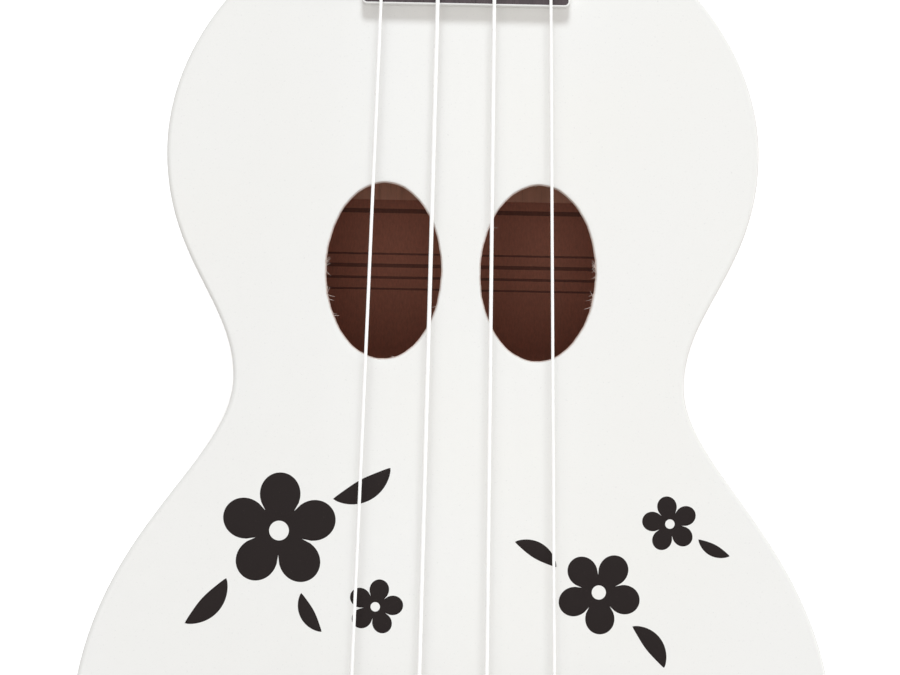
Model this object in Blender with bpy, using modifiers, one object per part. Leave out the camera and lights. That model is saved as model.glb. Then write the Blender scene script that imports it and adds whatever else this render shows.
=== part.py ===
"""A soprano ukulele lying on its back: hollow body, neck, fretboard, bridge, strings and four open
tuning machines.

The frame: +X is the treble side, +Y runs from the tail to the headstock, +Z comes out of the
soundboard. The back's outer face lies in the plane z = 0. All sizes are in metres.
"""
import math

import bmesh
import bpy
import numpy as np
from mathutils import Matrix, Vector

MM = 0.001

# Clearances
SEAM = 0.2 * MM  # glue line between wooden pieces, and under anything that is screwed on
FIT = 0.1 * MM  # small hardware that sits still in its seat
RUNNING = 0.08 * MM  # radial clearance of a turning shaft

# Body outline, as half widths and distances along the centre line
BODY_LENGTH = 240 * MM
BODY_DEPTH = 60 * MM
UPPER_BOUT_HALF = 63.7 * MM
UPPER_BOUT_FROM_TOP = 56 * MM
WAIST_HALF = 48.5 * MM
WAIST_FROM_TOP = 105.2 * MM
LOWER_BOUT_HALF = 82.3 * MM
LOWER_BOUT_FROM_TAIL = 55 * MM
# How far the outline runs on straight out of each of those places before it turns
SHOULDER_REACH = 36.5 * MM
UPPER_REACH_UP = 28 * MM
UPPER_REACH_DOWN = 24 * MM
WAIST_REACH_UP = 16.5 * MM
WAIST_REACH_DOWN = 19.5 * MM
LOWER_REACH_UP = 45 * MM
LOWER_REACH_DOWN = 31 * MM
TAIL_REACH = 52 * MM
OUTLINE_STEPS = 10  # facets on each of the four stretches of one half

# Shell
SOUNDBOARD_THICK = 2.5 * MM
BACK_THICK = 3.0 * MM
SIDE_THICK = 2.3 * MM
EDGE_ROUND = 1.6 * MM
HOLE_WIDTH = 24.7 * MM
HOLE_LENGTH = 37.8 * MM
HOLE_SPACING = 33.2 * MM
HOLES_FROM_TOP = 81.6 * MM
HOLE_STEPS = 28
HOLE_RIM_ROUND = 0.4 * MM

# Blocks, linings and braces
NECK_BLOCK_HALF = 23 * MM
NECK_BLOCK_DEEP = 24 * MM
TAIL_BLOCK_HALF = 21 * MM
TAIL_BLOCK_DEEP = 18 * MM
LINING_WIDE = 5 * MM
LINING_HIGH = 7 * MM
LINING_LIP = 1.5 * MM
BRACE_WIDE = 6 * MM
BRACE_HIGH = 9 * MM
BRACE_TIP_HIGH = 3 * MM
BRACE_TAPER = 16 * MM
BRACE_TIP_GAP = 0.6 * MM  # to the linings
TOP_BRACE_UPPER_FROM_TOP = 46 * MM
TOP_BRACE_LOWER_FROM_HOLES = 16 * MM
BACK_BRACE_UPPER_FROM_TOP = 44 * MM
BACK_BRACE_LOWER_FROM_TAIL = 84 * MM
PATCH_WIDE = 88 * MM
PATCH_LONG = 30 * MM
PATCH_THICK = 1.6 * MM

# Strings and scale
SCALE_LENGTH = 347 * MM
SADDLE_FROM_TAIL = 54 * MM
SPREAD_AT_NUT = 27.3 * MM
SPREAD_AT_SADDLE = 44 * MM
ACTION_AT_NUT = 0.4 * MM  # gap over the fret tops at the nut
ACTION_AT_OCTAVE = 2.6 * MM  # gap over the fret tops halfway along the strings
STRINGS = ("g", "c", "e", "a")
STRING_DIAMETER = {"g": 0.68 * MM, "c": 0.86 * MM, "e": 0.78 * MM, "a": 0.64 * MM}
STRING_CLEAR = 0.05 * MM

# Fretboard, frets and nut
FRET_COUNT = 12
BOARD_WIDTH_AT_NUT = 35 * MM
BOARD_WIDTH_AT_END = 44.7 * MM
BOARD_THICK = 4.2 * MM
BOARD_PAST_LAST_FRET = 12 * MM
FRET_CROWN_WIDE = 2.2 * MM
FRET_CROWN_HIGH = 1.0 * MM
FRET_TANG_WIDE = 0.5 * MM
FRET_TANG_DEEP = 1.5 * MM
FRET_INSET = 0.3 * MM
NUT_THICK = 5 * MM
NUT_OVER_STRING = 0.5 * MM

# Neck and headstock
NECK_DEPTH_AT_NUT = 13.5 * MM
NECK_DEPTH_AT_HEEL = 15.5 * MM
HEEL_LENGTH = 34 * MM
HEEL_CAP_LENGTH = 13 * MM
HEEL_CAP_WIDTH = 23 * MM
HEEL_ABOVE_BACK = 3 * MM
HEAD_TILT = math.radians(10)
HEAD_LENGTH = 120 * MM
HEAD_THICK = 11 * MM
HEAD_WIDTH_AT_FLARE = 57 * MM
HEAD_WIDTH_AT_TOP = 61 * MM
HEAD_FLARE_LENGTH = 20 * MM
HEAD_CROWN_LENGTH = 11 * MM

# Bridge and saddle
BRIDGE_WIDTH = 77 * MM
BRIDGE_HIGH = 7.2 * MM
BRIDGE_FRONT = 7.5 * MM  # from the saddle's crown towards the head
BRIDGE_REAR = 12.5 * MM  # from the saddle's crown towards the tail
BRIDGE_LIP_HIGH = 3 * MM
BRIDGE_REAR_HIGH = 6.4 * MM
BRIDGE_WING = 9 * MM
SADDLE_THICK = 3 * MM
SADDLE_LENGTH = 56 * MM
SADDLE_GROOVE_DEEP = 2.6 * MM
STRING_BREAK = math.radians(35)
KNOT_DIAMETER = 2.4 * MM
KNOT_FROM_SADDLE = 9.4 * MM
POCKET_WIDE = 3.4 * MM
POCKET_LONG = 3.6 * MM

# Tuning machines, in the headstock's own frame
POST_FROM_NUT = {"g": 36 * MM, "c": 84 * MM, "e": 84 * MM, "a": 36 * MM}
POST_FROM_CENTRE = 17.5 * MM
POST_SIDE = {"g": -1, "c": -1, "e": 1, "a": 1}
POST_RADIUS = 3.0 * MM
POST_WAIST_RADIUS = 2.6 * MM
POST_HIGH = 12 * MM
POST_HOLE_UP = 9.4 * MM
POST_HOLE_RADIUS = 0.75 * MM
POST_NECK_RADIUS = 2.4 * MM
POST_SQUARE = 3.2 * MM
TURNS_PER_POST = 2.5
WINDING_STEPS = 12  # points a turn
TURN_PITCH = 1.36 * MM
LAST_TURN_LIFT = 1.4 * MM
STRING_TAIL = 3 * MM
FERRULE_FLANGE_RADIUS = 4.9 * MM
FERRULE_FLANGE_THICK = 1.2 * MM
FERRULE_RADIUS = 3.9 * MM
FERRULE_DEEP = 7 * MM
PLATE_THICK = 1.0 * MM
PLATE_WIDTH = 12 * MM
PLATE_PAST_POST = 9 * MM
PLATE_PAST_WORM = 7 * MM
EAR_HALF = 3.1 * MM
GEAR_TEETH = 14
GEAR_PITCH_RADIUS = 4.9 * MM
GEAR_TIP_RADIUS = 5.45 * MM
GEAR_ROOT_RADIUS = 4.15 * MM
GEAR_THICK = 3.0 * MM
GEAR_TIP_WIDE = 0.5 * MM
GEAR_ROOT_WIDE = 1.35 * MM
WORM_PITCH_RADIUS = 2.3 * MM
WORM_TIP_RADIUS = 2.8 * MM
WORM_ROOT_RADIUS = 1.5 * MM
WORM_TIP_WIDE = 0.45 * MM
WORM_ROOT_WIDE = 1.35 * MM
WORM_OVER_PLATE = 0.35 * MM
WORM_TURNS = 3.0
WORM_STEPS = 10
COLLAR_RADIUS = 2.4 * MM
COLLAR_THICK = 0.5 * MM
BUTTON_FROM_EDGE = 3.5 * MM
BUTTON_LENGTH = 13 * MM
BUTTON_WIDTH = 15 * MM
BUTTON_THICK = 7 * MM
BUTTON_BORE_DEEP = 8 * MM
BUTTON_PIN_RADIUS = 1.2 * MM
ROUND_STEPS = 12

# Places that follow from those sizes
NECK_PLANE = BODY_DEPTH  # the soundboard's outer face and the neck's top are level
NUT_FROM_TAIL = SADDLE_FROM_TAIL + SCALE_LENGTH
OVERALL = NUT_FROM_TAIL + NUT_THICK + HEAD_LENGTH * math.cos(HEAD_TILT)
TAIL_Y = -OVERALL / 2
BODY_TOP_Y = TAIL_Y + BODY_LENGTH
SADDLE_Y = TAIL_Y + SADDLE_FROM_TAIL
NUT_Y = TAIL_Y + NUT_FROM_TAIL
HEAD_Y = NUT_Y + NUT_THICK
HOLES_Y = BODY_TOP_Y - HOLES_FROM_TOP
SOUNDBOARD_UNDER = BODY_DEPTH - SOUNDBOARD_THICK
BOARD_UNDER = NECK_PLANE + SEAM
BOARD_TOP = BOARD_UNDER + BOARD_THICK
FRET_TOP = BOARD_TOP + FIT + FRET_CROWN_HIGH
STRING_LOW_AT_NUT = FRET_TOP + ACTION_AT_NUT
STRING_LOW_AT_SADDLE = FRET_TOP + 2 * ACTION_AT_OCTAVE - ACTION_AT_NUT
CENTRE_DISTANCE = GEAR_PITCH_RADIUS + WORM_PITCH_RADIUS
PLATE_FRONT = -HEAD_THICK - SEAM
PLATE_REAR = PLATE_FRONT - PLATE_THICK
WORM_W = PLATE_REAR - WORM_OVER_PLATE - WORM_TIP_RADIUS
GEAR_FRONT = WORM_W + GEAR_THICK / 2
GEAR_REAR = WORM_W - GEAR_THICK / 2
WORM_PITCH = 2 * math.pi * GEAR_PITCH_RADIUS / GEAR_TEETH
EAR_INNER = PLATE_WIDTH / 2 - PLATE_THICK


def fret_y(number):
    """Where a fret stands: the string's sounding length halves every 12 frets."""
    return SADDLE_Y + SCALE_LENGTH * 2 ** (-number / 12)


BOARD_END_Y = fret_y(FRET_COUNT) - BOARD_PAST_LAST_FRET


def board_half_width(y):
    """Half the fretboard's width at y, on its straight taper."""
    share = (NUT_Y - y) / (NUT_Y - BOARD_END_Y)
    return (BOARD_WIDTH_AT_NUT + (BOARD_WIDTH_AT_END - BOARD_WIDTH_AT_NUT) * share) / 2


def string_x(name, y):
    """Where a string lies across the instrument at y, between the saddle and the nut."""
    place = STRINGS.index(name) / (len(STRINGS) - 1) - 0.5
    share = (y - SADDLE_Y) / SCALE_LENGTH
    return place * (SPREAD_AT_SADDLE + (SPREAD_AT_NUT - SPREAD_AT_SADDLE) * share)


# Scene, materials and small helpers

def clear_scene():
    for thing in list(bpy.data.objects):
        bpy.data.objects.remove(thing, do_unlink=True)


def new_collection(name):
    made = bpy.data.collections.new(name)
    bpy.context.scene.collection.children.link(made)
    return made


def material(name, colour, roughness, metallic):
    made = bpy.data.materials.new(name)
    made.use_nodes = True
    shader = made.node_tree.nodes["Principled BSDF"]
    shader.inputs["Base Color"].default_value = (*colour, 1)
    shader.inputs["Roughness"].default_value = roughness
    shader.inputs["Metallic"].default_value = metallic
    return made


WHITE_PAINT = ((0.90, 0.90, 0.88), 0.25, 0)
BARE_WOOD = ((0.30, 0.17, 0.10), 0.7, 0)
DARK_WOOD = ((0.07, 0.055, 0.055), 0.5, 0)
BONE = ((0.85, 0.83, 0.76), 0.35, 0)
NYLON = ((0.88, 0.88, 0.88), 0.3, 0)
CHROME = ((0.75, 0.75, 0.76), 0.15, 1)
GEAR_METAL = ((0.72, 0.60, 0.38), 0.3, 1)


def finish(obj, look, smooth_angle=30):
    """Gives a piece its own material, and smooth shading up to an angle in degrees."""
    obj.data.materials.clear()
    obj.data.materials.append(material(obj.name, *look))
    if obj.type == "MESH":
        obj.data.shade_smooth()
        obj.data.set_sharp_from_angle(angle=math.radians(smooth_angle))
    return obj


def mesh_object(name, bm, holder):
    """Turns a bmesh into an object, with every face turned outwards."""
    bmesh.ops.recalc_face_normals(bm, faces=bm.faces)
    mesh = bpy.data.meshes.new(name)
    bm.to_mesh(mesh)
    bm.free()
    obj = bpy.data.objects.new(name, mesh)
    holder.objects.link(obj)
    return obj


def as_cutter(obj):
    obj.hide_render = True
    obj.display_type = "WIRE"
    return obj


def cut(obj, cutter, operation="DIFFERENCE"):
    """Leaves a live Boolean on the piece; the cutter is only drawn as wire."""
    step = obj.modifiers.new(cutter.name, "BOOLEAN")
    step.operation = operation
    step.solver = "EXACT"
    step.object = as_cutter(cutter)


def flat_piece(name, outlines, thickness, holder):
    """A flat outline, with any openings in it, thickened equally to both sides of its plane."""
    data = bpy.data.curves.new(name, "CURVE")
    data.dimensions = "2D"
    data.fill_mode = "BOTH"
    data.extrude = thickness / 2
    for outline in outlines:
        line = data.splines.new("POLY")
        line.points.add(len(outline) - 1)
        for point, place in zip(line.points, outline):
            point.co = (place[0], place[1], 0, 1)
        line.use_cyclic_u = True
    drawn = bpy.data.objects.new(name, data)
    holder.objects.link(drawn)
    return drawn


def to_mesh(obj):
    """Makes a curve into a mesh with welded caps, in the same place."""
    bpy.context.view_layer.update()
    graph = bpy.context.evaluated_depsgraph_get()
    mesh = bpy.data.meshes.new_from_object(obj.evaluated_get(graph))
    bm = bmesh.new()
    bm.from_mesh(mesh)
    bmesh.ops.remove_doubles(bm, verts=bm.verts, dist=0.001 * MM)
    bmesh.ops.recalc_face_normals(bm, faces=bm.faces)
    bm.to_mesh(mesh)
    bm.free()
    name, place, holders = obj.name, obj.matrix_world.copy(), list(obj.users_collection)
    bpy.data.objects.remove(obj, do_unlink=True)
    made = bpy.data.objects.new(name, mesh)
    made.matrix_world = place
    for holder in holders:
        holder.objects.link(made)
    return made


def loft(name, sections, holder):
    """Joins sections of equal point count one after another, and closes both ends."""
    bm = bmesh.new()
    rings = [[bm.verts.new(place) for place in section] for section in sections]
    for ring, following in zip(rings, rings[1:]):
        for index in range(len(ring)):
            after = (index + 1) % len(ring)
            bm.faces.new((ring[index], ring[after], following[after], following[index]))
    bm.faces.new(rings[0])
    bm.faces.new(rings[-1])
    return mesh_object(name, bm, holder)


def box(name, low, high, holder):
    """A box between two opposite corners, made from a cube."""
    bm = bmesh.new()
    bmesh.ops.create_cube(bm, size=1)
    low, high = Vector(low), Vector(high)
    span = high - low
    bmesh.ops.scale(bm, vec=span, verts=bm.verts)
    bmesh.ops.translate(bm, vec=(low + high) / 2, verts=bm.verts)
    return mesh_object(name, bm, holder)


def rod(name, radius, length, holder, steps=ROUND_STEPS):
    """A plain cylinder round its own Z axis, centred."""
    bm = bmesh.new()
    bmesh.ops.create_cone(bm, cap_ends=True, segments=steps, radius1=radius, radius2=radius, depth=length)
    return mesh_object(name, bm, holder)


def turned(name, profile, holder, steps=ROUND_STEPS):
    """Turns a profile of (radius, height) points, top to bottom, round its own Z axis."""
    bm = bmesh.new()
    verts = [bm.verts.new((radius, 0, height)) for radius, height in profile]
    for upper, lower in zip(verts, verts[1:]):
        bm.edges.new((upper, lower))
    mesh = bpy.data.meshes.new(name)
    bm.to_mesh(mesh)
    bm.free()
    obj = bpy.data.objects.new(name, mesh)
    holder.objects.link(obj)
    screw = obj.modifiers.new("turn", "SCREW")
    screw.steps = steps
    screw.render_steps = steps
    screw.use_merge_vertices = True
    screw.merge_threshold = 0.001 * MM
    return obj


def tube(name, route, diameter, holder, swell=()):
    """A cord along a route; swell gives a size factor for its first points, for the knot."""
    data = bpy.data.curves.new(name, "CURVE")
    data.dimensions = "3D"
    data.bevel_depth = diameter / 2
    data.bevel_resolution = 1
    data.use_fill_caps = True
    line = data.splines.new("POLY")
    line.points.add(len(route) - 1)
    for index, place in enumerate(route):
        line.points[index].co = (*place, 1)
        line.points[index].radius = swell[index] if index < len(swell) else 1
    obj = bpy.data.objects.new(name, data)
    holder.objects.link(obj)
    return obj


def hole_radius(shaft_radius, clearance, steps=ROUND_STEPS):
    """The corner radius of a faceted hole whose flats still clear a round shaft."""
    return (shaft_radius + clearance) / math.cos(math.pi / steps)


# Body outline

def bezier(start, leave, arrive, end, steps):
    t = np.linspace(0, 1, steps + 1)[:, None]
    start, leave, arrive, end = (np.array(p, float) for p in (start, leave, arrive, end))
    return (1 - t) ** 3 * start + 3 * (1 - t) ** 2 * t * leave + 3 * (1 - t) * t ** 2 * arrive + t ** 3 * end


def half_outline(inset=0.0):
    """The treble half of the outline from the top to the tail, moved inwards by inset.

    Four curves meet where the outline runs along or across the centre line, so it is smooth.
    """
    top, tail = BODY_TOP_Y, TAIL_Y
    upper, waist, lower = top - UPPER_BOUT_FROM_TOP, top - WAIST_FROM_TOP, tail + LOWER_BOUT_FROM_TAIL
    stretches = (
        bezier((0, top), (SHOULDER_REACH, top), (UPPER_BOUT_HALF, upper + UPPER_REACH_UP),
               (UPPER_BOUT_HALF, upper), OUTLINE_STEPS),
        bezier((UPPER_BOUT_HALF, upper), (UPPER_BOUT_HALF, upper - UPPER_REACH_DOWN),
               (WAIST_HALF, waist + WAIST_REACH_UP), (WAIST_HALF, waist), OUTLINE_STEPS),
        bezier((WAIST_HALF, waist), (WAIST_HALF, waist - WAIST_REACH_DOWN),
               (LOWER_BOUT_HALF, lower + LOWER_REACH_UP), (LOWER_BOUT_HALF, lower), OUTLINE_STEPS),
        bezier((LOWER_BOUT_HALF, lower), (LOWER_BOUT_HALF, lower - LOWER_REACH_DOWN),
               (TAIL_REACH, tail), (0, tail), OUTLINE_STEPS))
    points = np.vstack([stretches[0]] + [stretch[1:] for stretch in stretches[1:]])
    along = np.gradient(points, axis=0)
    along[0] = (1, 0)
    along[-1] = (-1, 0)
    along /= np.linalg.norm(along, axis=1)[:, None]
    inward = np.column_stack((along[:, 1], -along[:, 0]))
    moved = points + inset * inward
    moved[[0, -1], 0] = 0
    return moved


def whole_outline(inset=0.0):
    half = half_outline(inset)
    return np.vstack((half, half[-2:0:-1] * (-1, 1)))


def outline_part(inset, top_half=0.0, tail_half=0.0):
    """The treble half, from x = top_half near the top to x = tail_half near the tail."""
    half = half_outline(inset)
    middle = len(half) // 2
    kept = [tuple(p) for index, p in enumerate(half) if p[0] > (top_half if index < middle else tail_half)]
    y_top = np.interp(top_half, half[:middle, 0], half[:middle, 1])
    y_tail = np.interp(tail_half, half[:middle:-1, 0], half[:middle:-1, 1])
    return [(top_half, y_top), *kept, (tail_half, y_tail)]


def outline_half_width(inset, y):
    half = half_outline(inset)
    order = np.argsort(half[:, 1])
    return float(np.interp(y, half[order, 1], half[order, 0]))


def oval(centre_x, centre_y, width, length, steps):
    angles = np.linspace(0, 2 * np.pi, steps, endpoint=False)
    return [(centre_x + width / 2 * math.sin(a), centre_y + length / 2 * math.cos(a)) for a in angles]


# Body pieces

def round_over(obj, height, radius, segments, wanted):
    """Rounds the edges that lie at one height of a flat piece and that wanted accepts."""
    bm = bmesh.new()
    bm.from_mesh(obj.data)
    near = 0.01 * MM
    edges = [e for e in bm.edges
             if all(abs(v.co.z - height) < near for v in e.verts) and len(e.link_faces) == 2
             and abs(e.calc_face_angle(0)) > 1 and wanted(sum((v.co for v in e.verts), Vector()) / 2)]
    bmesh.ops.bevel(bm, geom=edges, offset=radius, segments=segments, profile=0.5, affect="EDGES")
    bm.to_mesh(obj.data)
    bm.free()


def near_outline(place):
    """Whether a place lies on the body's outline and not at a sound hole."""
    return not any(math.hypot(place.x - side * HOLE_SPACING / 2, place.y - HOLES_Y) < HOLE_LENGTH / 2 + MM
                   for side in (-1, 1))


def soundboard(holder):
    """The top, with two upright oval holes, rounded over at its outer edge and at the holes' rims."""
    holes = [oval(side * HOLE_SPACING / 2, HOLES_Y, HOLE_WIDTH, HOLE_LENGTH, HOLE_STEPS) for side in (-1, 1)]
    obj = to_mesh(flat_piece("soundboard", [whole_outline(), *holes], SOUNDBOARD_THICK, holder))
    round_over(obj, SOUNDBOARD_THICK / 2, EDGE_ROUND, 2, near_outline)
    round_over(obj, SOUNDBOARD_THICK / 2, HOLE_RIM_ROUND, 1, lambda place: not near_outline(place))
    obj.location.z = BODY_DEPTH - SOUNDBOARD_THICK / 2
    return finish(obj, WHITE_PAINT)


def back(holder):
    obj = to_mesh(flat_piece("back", [whole_outline()], BACK_THICK, holder))
    round_over(obj, -BACK_THICK / 2, EDGE_ROUND, 2, lambda place: True)
    obj.location.z = BACK_THICK / 2
    return finish(obj, WHITE_PAINT)


def side(name, hand, holder):
    """One bent side: a band between two lines along half the outline, as high as the body is inside."""
    low, high = BACK_THICK + SEAM, SOUNDBOARD_UNDER - SEAM
    outer, inner = (outline_part(inset, SEAM / 2, SEAM / 2) for inset in (0, SIDE_THICK))
    band = [(hand * x, y) for x, y in outer + inner[::-1]]
    obj = to_mesh(flat_piece(name, [band], high - low, holder))
    obj.location.z = (low + high) / 2
    return finish(obj, WHITE_PAINT)


def end_block(name, at_top, half, deep, holder):
    """A block that follows the inside of the sides at one end of the body."""
    inner = half_outline(SIDE_THICK + SEAM)
    if not at_top:
        inner = inner[::-1]
    edge_y = float(np.interp(half, inner[:OUTLINE_STEPS, 0], inner[:OUTLINE_STEPS, 1]))
    rim = [(x, y) for x, y in inner[:OUTLINE_STEPS] if x < half]
    towards = -1 if at_top else 1
    inner_y = inner[0][1] + towards * deep
    corner = 3 * MM
    right = [*rim, (half, edge_y), (half, inner_y - towards * corner), (half - corner, inner_y)]
    left = [(-x, y) for x, y in reversed(right) if x > 0]
    low, high = BACK_THICK + SEAM, SOUNDBOARD_UNDER - SEAM
    obj = flat_piece(name, [right + left], high - low, holder)
    obj.location.z = (low + high) / 2
    return finish(to_mesh(obj), BARE_WOOD)


def lining(name, hand, on_top, holder):
    """A glue strip along one half of the sides, wide at the plate and thin at its free edge."""
    offset = SIDE_THICK + SEAM
    if on_top:
        plate, free = SOUNDBOARD_UNDER - SEAM, SOUNDBOARD_UNDER - SEAM - LINING_HIGH
    else:
        plate, free = BACK_THICK + SEAM, BACK_THICK + SEAM + LINING_HIGH
    lines = [matched_part(inset, NECK_BLOCK_HALF + SEAM, TAIL_BLOCK_HALF + SEAM)
             for inset in (offset, offset + LINING_WIDE, offset + LINING_LIP)]
    sections = [[(hand * outer[0], outer[1], plate), (hand * wide[0], wide[1], plate),
                 (hand * lip[0], lip[1], free), (hand * outer[0], outer[1], free)]
                for outer, wide, lip in zip(*lines)]
    return finish(loft(name, sections, holder), BARE_WOOD)


def matched_part(inset, top_half, tail_half):
    """Like outline_part, but with the same number of points whatever the inset is."""
    widest = half_outline(SIDE_THICK + SEAM + LINING_WIDE)[:, 0]
    middle = len(widest) // 2
    kept = [index for index, x in enumerate(widest)
            if x > (top_half if index < middle else tail_half) + MM]
    ends = outline_part(inset, top_half, tail_half)
    half = half_outline(inset)
    return [ends[0], *(tuple(half[index]) for index in kept), ends[-1]]


def brace(name, y, on_top, holder):
    """A cross brace between the linings, scooped thin towards both tips."""
    inset = SIDE_THICK + SEAM + LINING_WIDE + BRACE_TIP_GAP
    half = min(outline_half_width(inset, y + way * BRACE_WIDE / 2) for way in (-1, 0, 1))
    rise = [(half - BRACE_TAPER + BRACE_TAPER * math.sin(a),
             BRACE_HIGH - (BRACE_HIGH - BRACE_TIP_HIGH) * (1 - math.cos(a)))
            for a in np.linspace(0, np.pi / 2, 5)]
    right = [*rise, (half, 0)]
    outline = [(-x, z) for x, z in reversed(right)] + right
    obj = flat_piece(name, [outline[1:] + outline[:1]], BRACE_WIDE, holder)
    if on_top:
        obj.rotation_euler.x = -math.pi / 2
        obj.location = (0, y, SOUNDBOARD_UNDER - SEAM)
    else:
        obj.rotation_euler.x = math.pi / 2
        obj.location = (0, y, BACK_THICK + SEAM)
    return finish(to_mesh(obj), BARE_WOOD)


def bridge_patch(holder):
    top = SOUNDBOARD_UNDER - SEAM
    middle = SADDLE_Y + (BRIDGE_FRONT - BRIDGE_REAR) / 2
    return finish(box("bridge_patch", (-PATCH_WIDE / 2, middle - PATCH_LONG / 2, top - PATCH_THICK),
                      (PATCH_WIDE / 2, middle + PATCH_LONG / 2, top), holder), BARE_WOOD)


def body(holder):
    soundboard(holder)
    back(holder)
    for name, hand in (("bass", -1), ("treble", 1)):
        side(f"side_{name}", hand, holder)
        lining(f"lining_top_{name}", hand, True, holder)
        lining(f"lining_back_{name}", hand, False, holder)
    end_block("neck_block", True, NECK_BLOCK_HALF, NECK_BLOCK_DEEP, holder)
    end_block("tail_block", False, TAIL_BLOCK_HALF, TAIL_BLOCK_DEEP, holder)
    brace("top_brace_upper", BODY_TOP_Y - TOP_BRACE_UPPER_FROM_TOP, True, holder)
    brace("top_brace_lower", HOLES_Y - HOLE_LENGTH / 2 - TOP_BRACE_LOWER_FROM_HOLES, True, holder)
    brace("back_brace_upper", BODY_TOP_Y - BACK_BRACE_UPPER_FROM_TOP, False, holder)
    brace("back_brace_lower", TAIL_Y + BACK_BRACE_LOWER_FROM_TAIL, False, holder)
    bridge_patch(holder)


# Neck

def neck_section(half, depth, squareness, edge, floor=None):
    """A cross section in (x, z) under a flat top: a rounded belly, or a board where squareness is high.

    The belly is a superellipse; edge is the rounding of the top corners, and floor cuts it flat.
    """
    section = [(-half + edge, 0), (half - edge, 0)]
    for angle in np.linspace(0, np.pi, 13):
        x = half * math.copysign(abs(math.cos(angle)) ** (2 / squareness), math.cos(angle))
        z = -edge - (depth - edge) * math.sin(angle) ** (2 / squareness)
        section.append((x, z if floor is None else max(z, floor)))
    return section


def neck_sections():
    """Sections from inside the body to the headstock's tip, as points in the part's frame."""
    made = []
    heel_depth = NECK_PLANE - HEEL_ABOVE_BACK
    root_half = board_half_width(BODY_TOP_Y)
    root_y = float(np.interp(root_half, *half_outline()[:OUTLINE_STEPS].T)) - 2 * MM

    def add(y, half, depth, squareness, floor=None):
        made.append([(x, y, NECK_PLANE + z) for x, z in
                     neck_section(half, depth, squareness, 0.4 * MM, floor)])

    # Heel: a flat cap, then a quarter curve that sweeps up into the shaft
    sweep = HEEL_LENGTH - HEEL_CAP_LENGTH
    heel_deep = heel_depth * (1 + (HEEL_CAP_WIDTH / (2 * root_half)) ** 2 / 2)
    add(root_y, root_half, heel_deep, 1.9, -heel_depth)
    for angle in np.radians((90, 72, 54, 36, 18, 0)):
        y = BODY_TOP_Y + HEEL_CAP_LENGTH + sweep * (1 - math.sin(angle))
        drop = 1 - math.cos(angle)
        depth = NECK_DEPTH_AT_HEEL + (heel_deep - NECK_DEPTH_AT_HEEL) * drop
        add(y, board_half_width(y), depth, 2.0, -heel_depth)
    # Shaft
    add(NUT_Y, BOARD_WIDTH_AT_NUT / 2, NECK_DEPTH_AT_NUT, 2.2)
    add(HEAD_Y, BOARD_WIDTH_AT_NUT / 2, NECK_DEPTH_AT_NUT - 0.3 * MM, 2.6)
    # Headstock, along its own tilted plane
    for along, half, squareness in head_stations():
        section = neck_section(half, HEAD_THICK, squareness, 1 * MM)
        made.append([tuple(HEAD_FRAME @ Vector((x, along, z))) for x, z in section])
    return made


def head_stations():
    """(distance from the nut, half width, squareness) along the headstock."""
    start, flared, top = (width / 2 for width in
                          (BOARD_WIDTH_AT_NUT, HEAD_WIDTH_AT_FLARE, HEAD_WIDTH_AT_TOP))
    stations = []
    for share in np.linspace(0.1, 1, 7):
        smooth = share * share * (3 - 2 * share)
        stations.append((HEAD_FLARE_LENGTH * share, start + (flared - start) * smooth, 3 + 9 * share))
    crown = HEAD_LENGTH - HEAD_CROWN_LENGTH
    last = math.radians(84)
    for angle in np.linspace(0, last, 8):
        along = crown + HEAD_CROWN_LENGTH * math.sin(angle) / math.sin(last)
        stations.append((along, top * math.cos(angle) ** 0.8, 12))
    return stations


HEAD_FRAME = Matrix.Translation((0, HEAD_Y, NECK_PLANE)) @ Matrix.Rotation(-HEAD_TILT, 4, "X")


def neck(holder, cutters):
    """Shaft, heel and headstock; the heel is cut to the body's curve and the head is bored."""
    obj = loft("neck", neck_sections(), holder)
    seat = flat_piece("heel_seat", [whole_outline(-SEAM)], 2 * BODY_DEPTH, cutters)
    seat.location.z = BODY_DEPTH / 2
    cut(obj, to_mesh(seat))
    for name in STRINGS:
        bore = rod(f"post_bore_{name}", hole_radius(FERRULE_RADIUS, FIT), 4 * HEAD_THICK, cutters)
        place_on_head(bore, (post_u(name), POST_FROM_NUT[name], 0))
        cut(obj, bore)
    return finish(obj, WHITE_PAINT, 40)


# Fretboard, frets and nut

def fretboard(holder, cutters):
    """A tapered board with a saw slot for each fret."""
    bm = bmesh.new()
    bmesh.ops.create_cube(bm, size=1)
    for vert in bm.verts:
        y = NUT_Y if vert.co.y > 0 else BOARD_END_Y
        vert.co = (math.copysign(board_half_width(y), vert.co.x), y,
                   BOARD_TOP if vert.co.z > 0 else BOARD_UNDER)
    obj = mesh_object("fretboard", bm, holder)
    slots = bmesh.new()
    for number in range(1, FRET_COUNT + 1):
        made = bmesh.ops.create_cube(slots, size=1)["verts"]
        deep = FRET_TANG_DEEP + FIT
        bmesh.ops.scale(slots, vec=(2 * BOARD_WIDTH_AT_END, FRET_TANG_WIDE + 2 * FIT, 2 * deep), verts=made)
        bmesh.ops.translate(slots, vec=(0, fret_y(number), BOARD_TOP), verts=made)
    cut(obj, mesh_object("fret_slots", slots, cutters))
    return finish(obj, DARK_WOOD)


def stood_up(obj, middle):
    """Stands a flat outline up so that its drawing runs along +Y and +Z, and its thickness along X."""
    obj.matrix_world = Matrix.Translation(middle) @ Matrix(((0, 0, 1, 0), (1, 0, 0, 0), (0, 1, 0, 0),
                                                            (0, 0, 0, 1)))
    return to_mesh(obj)


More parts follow.
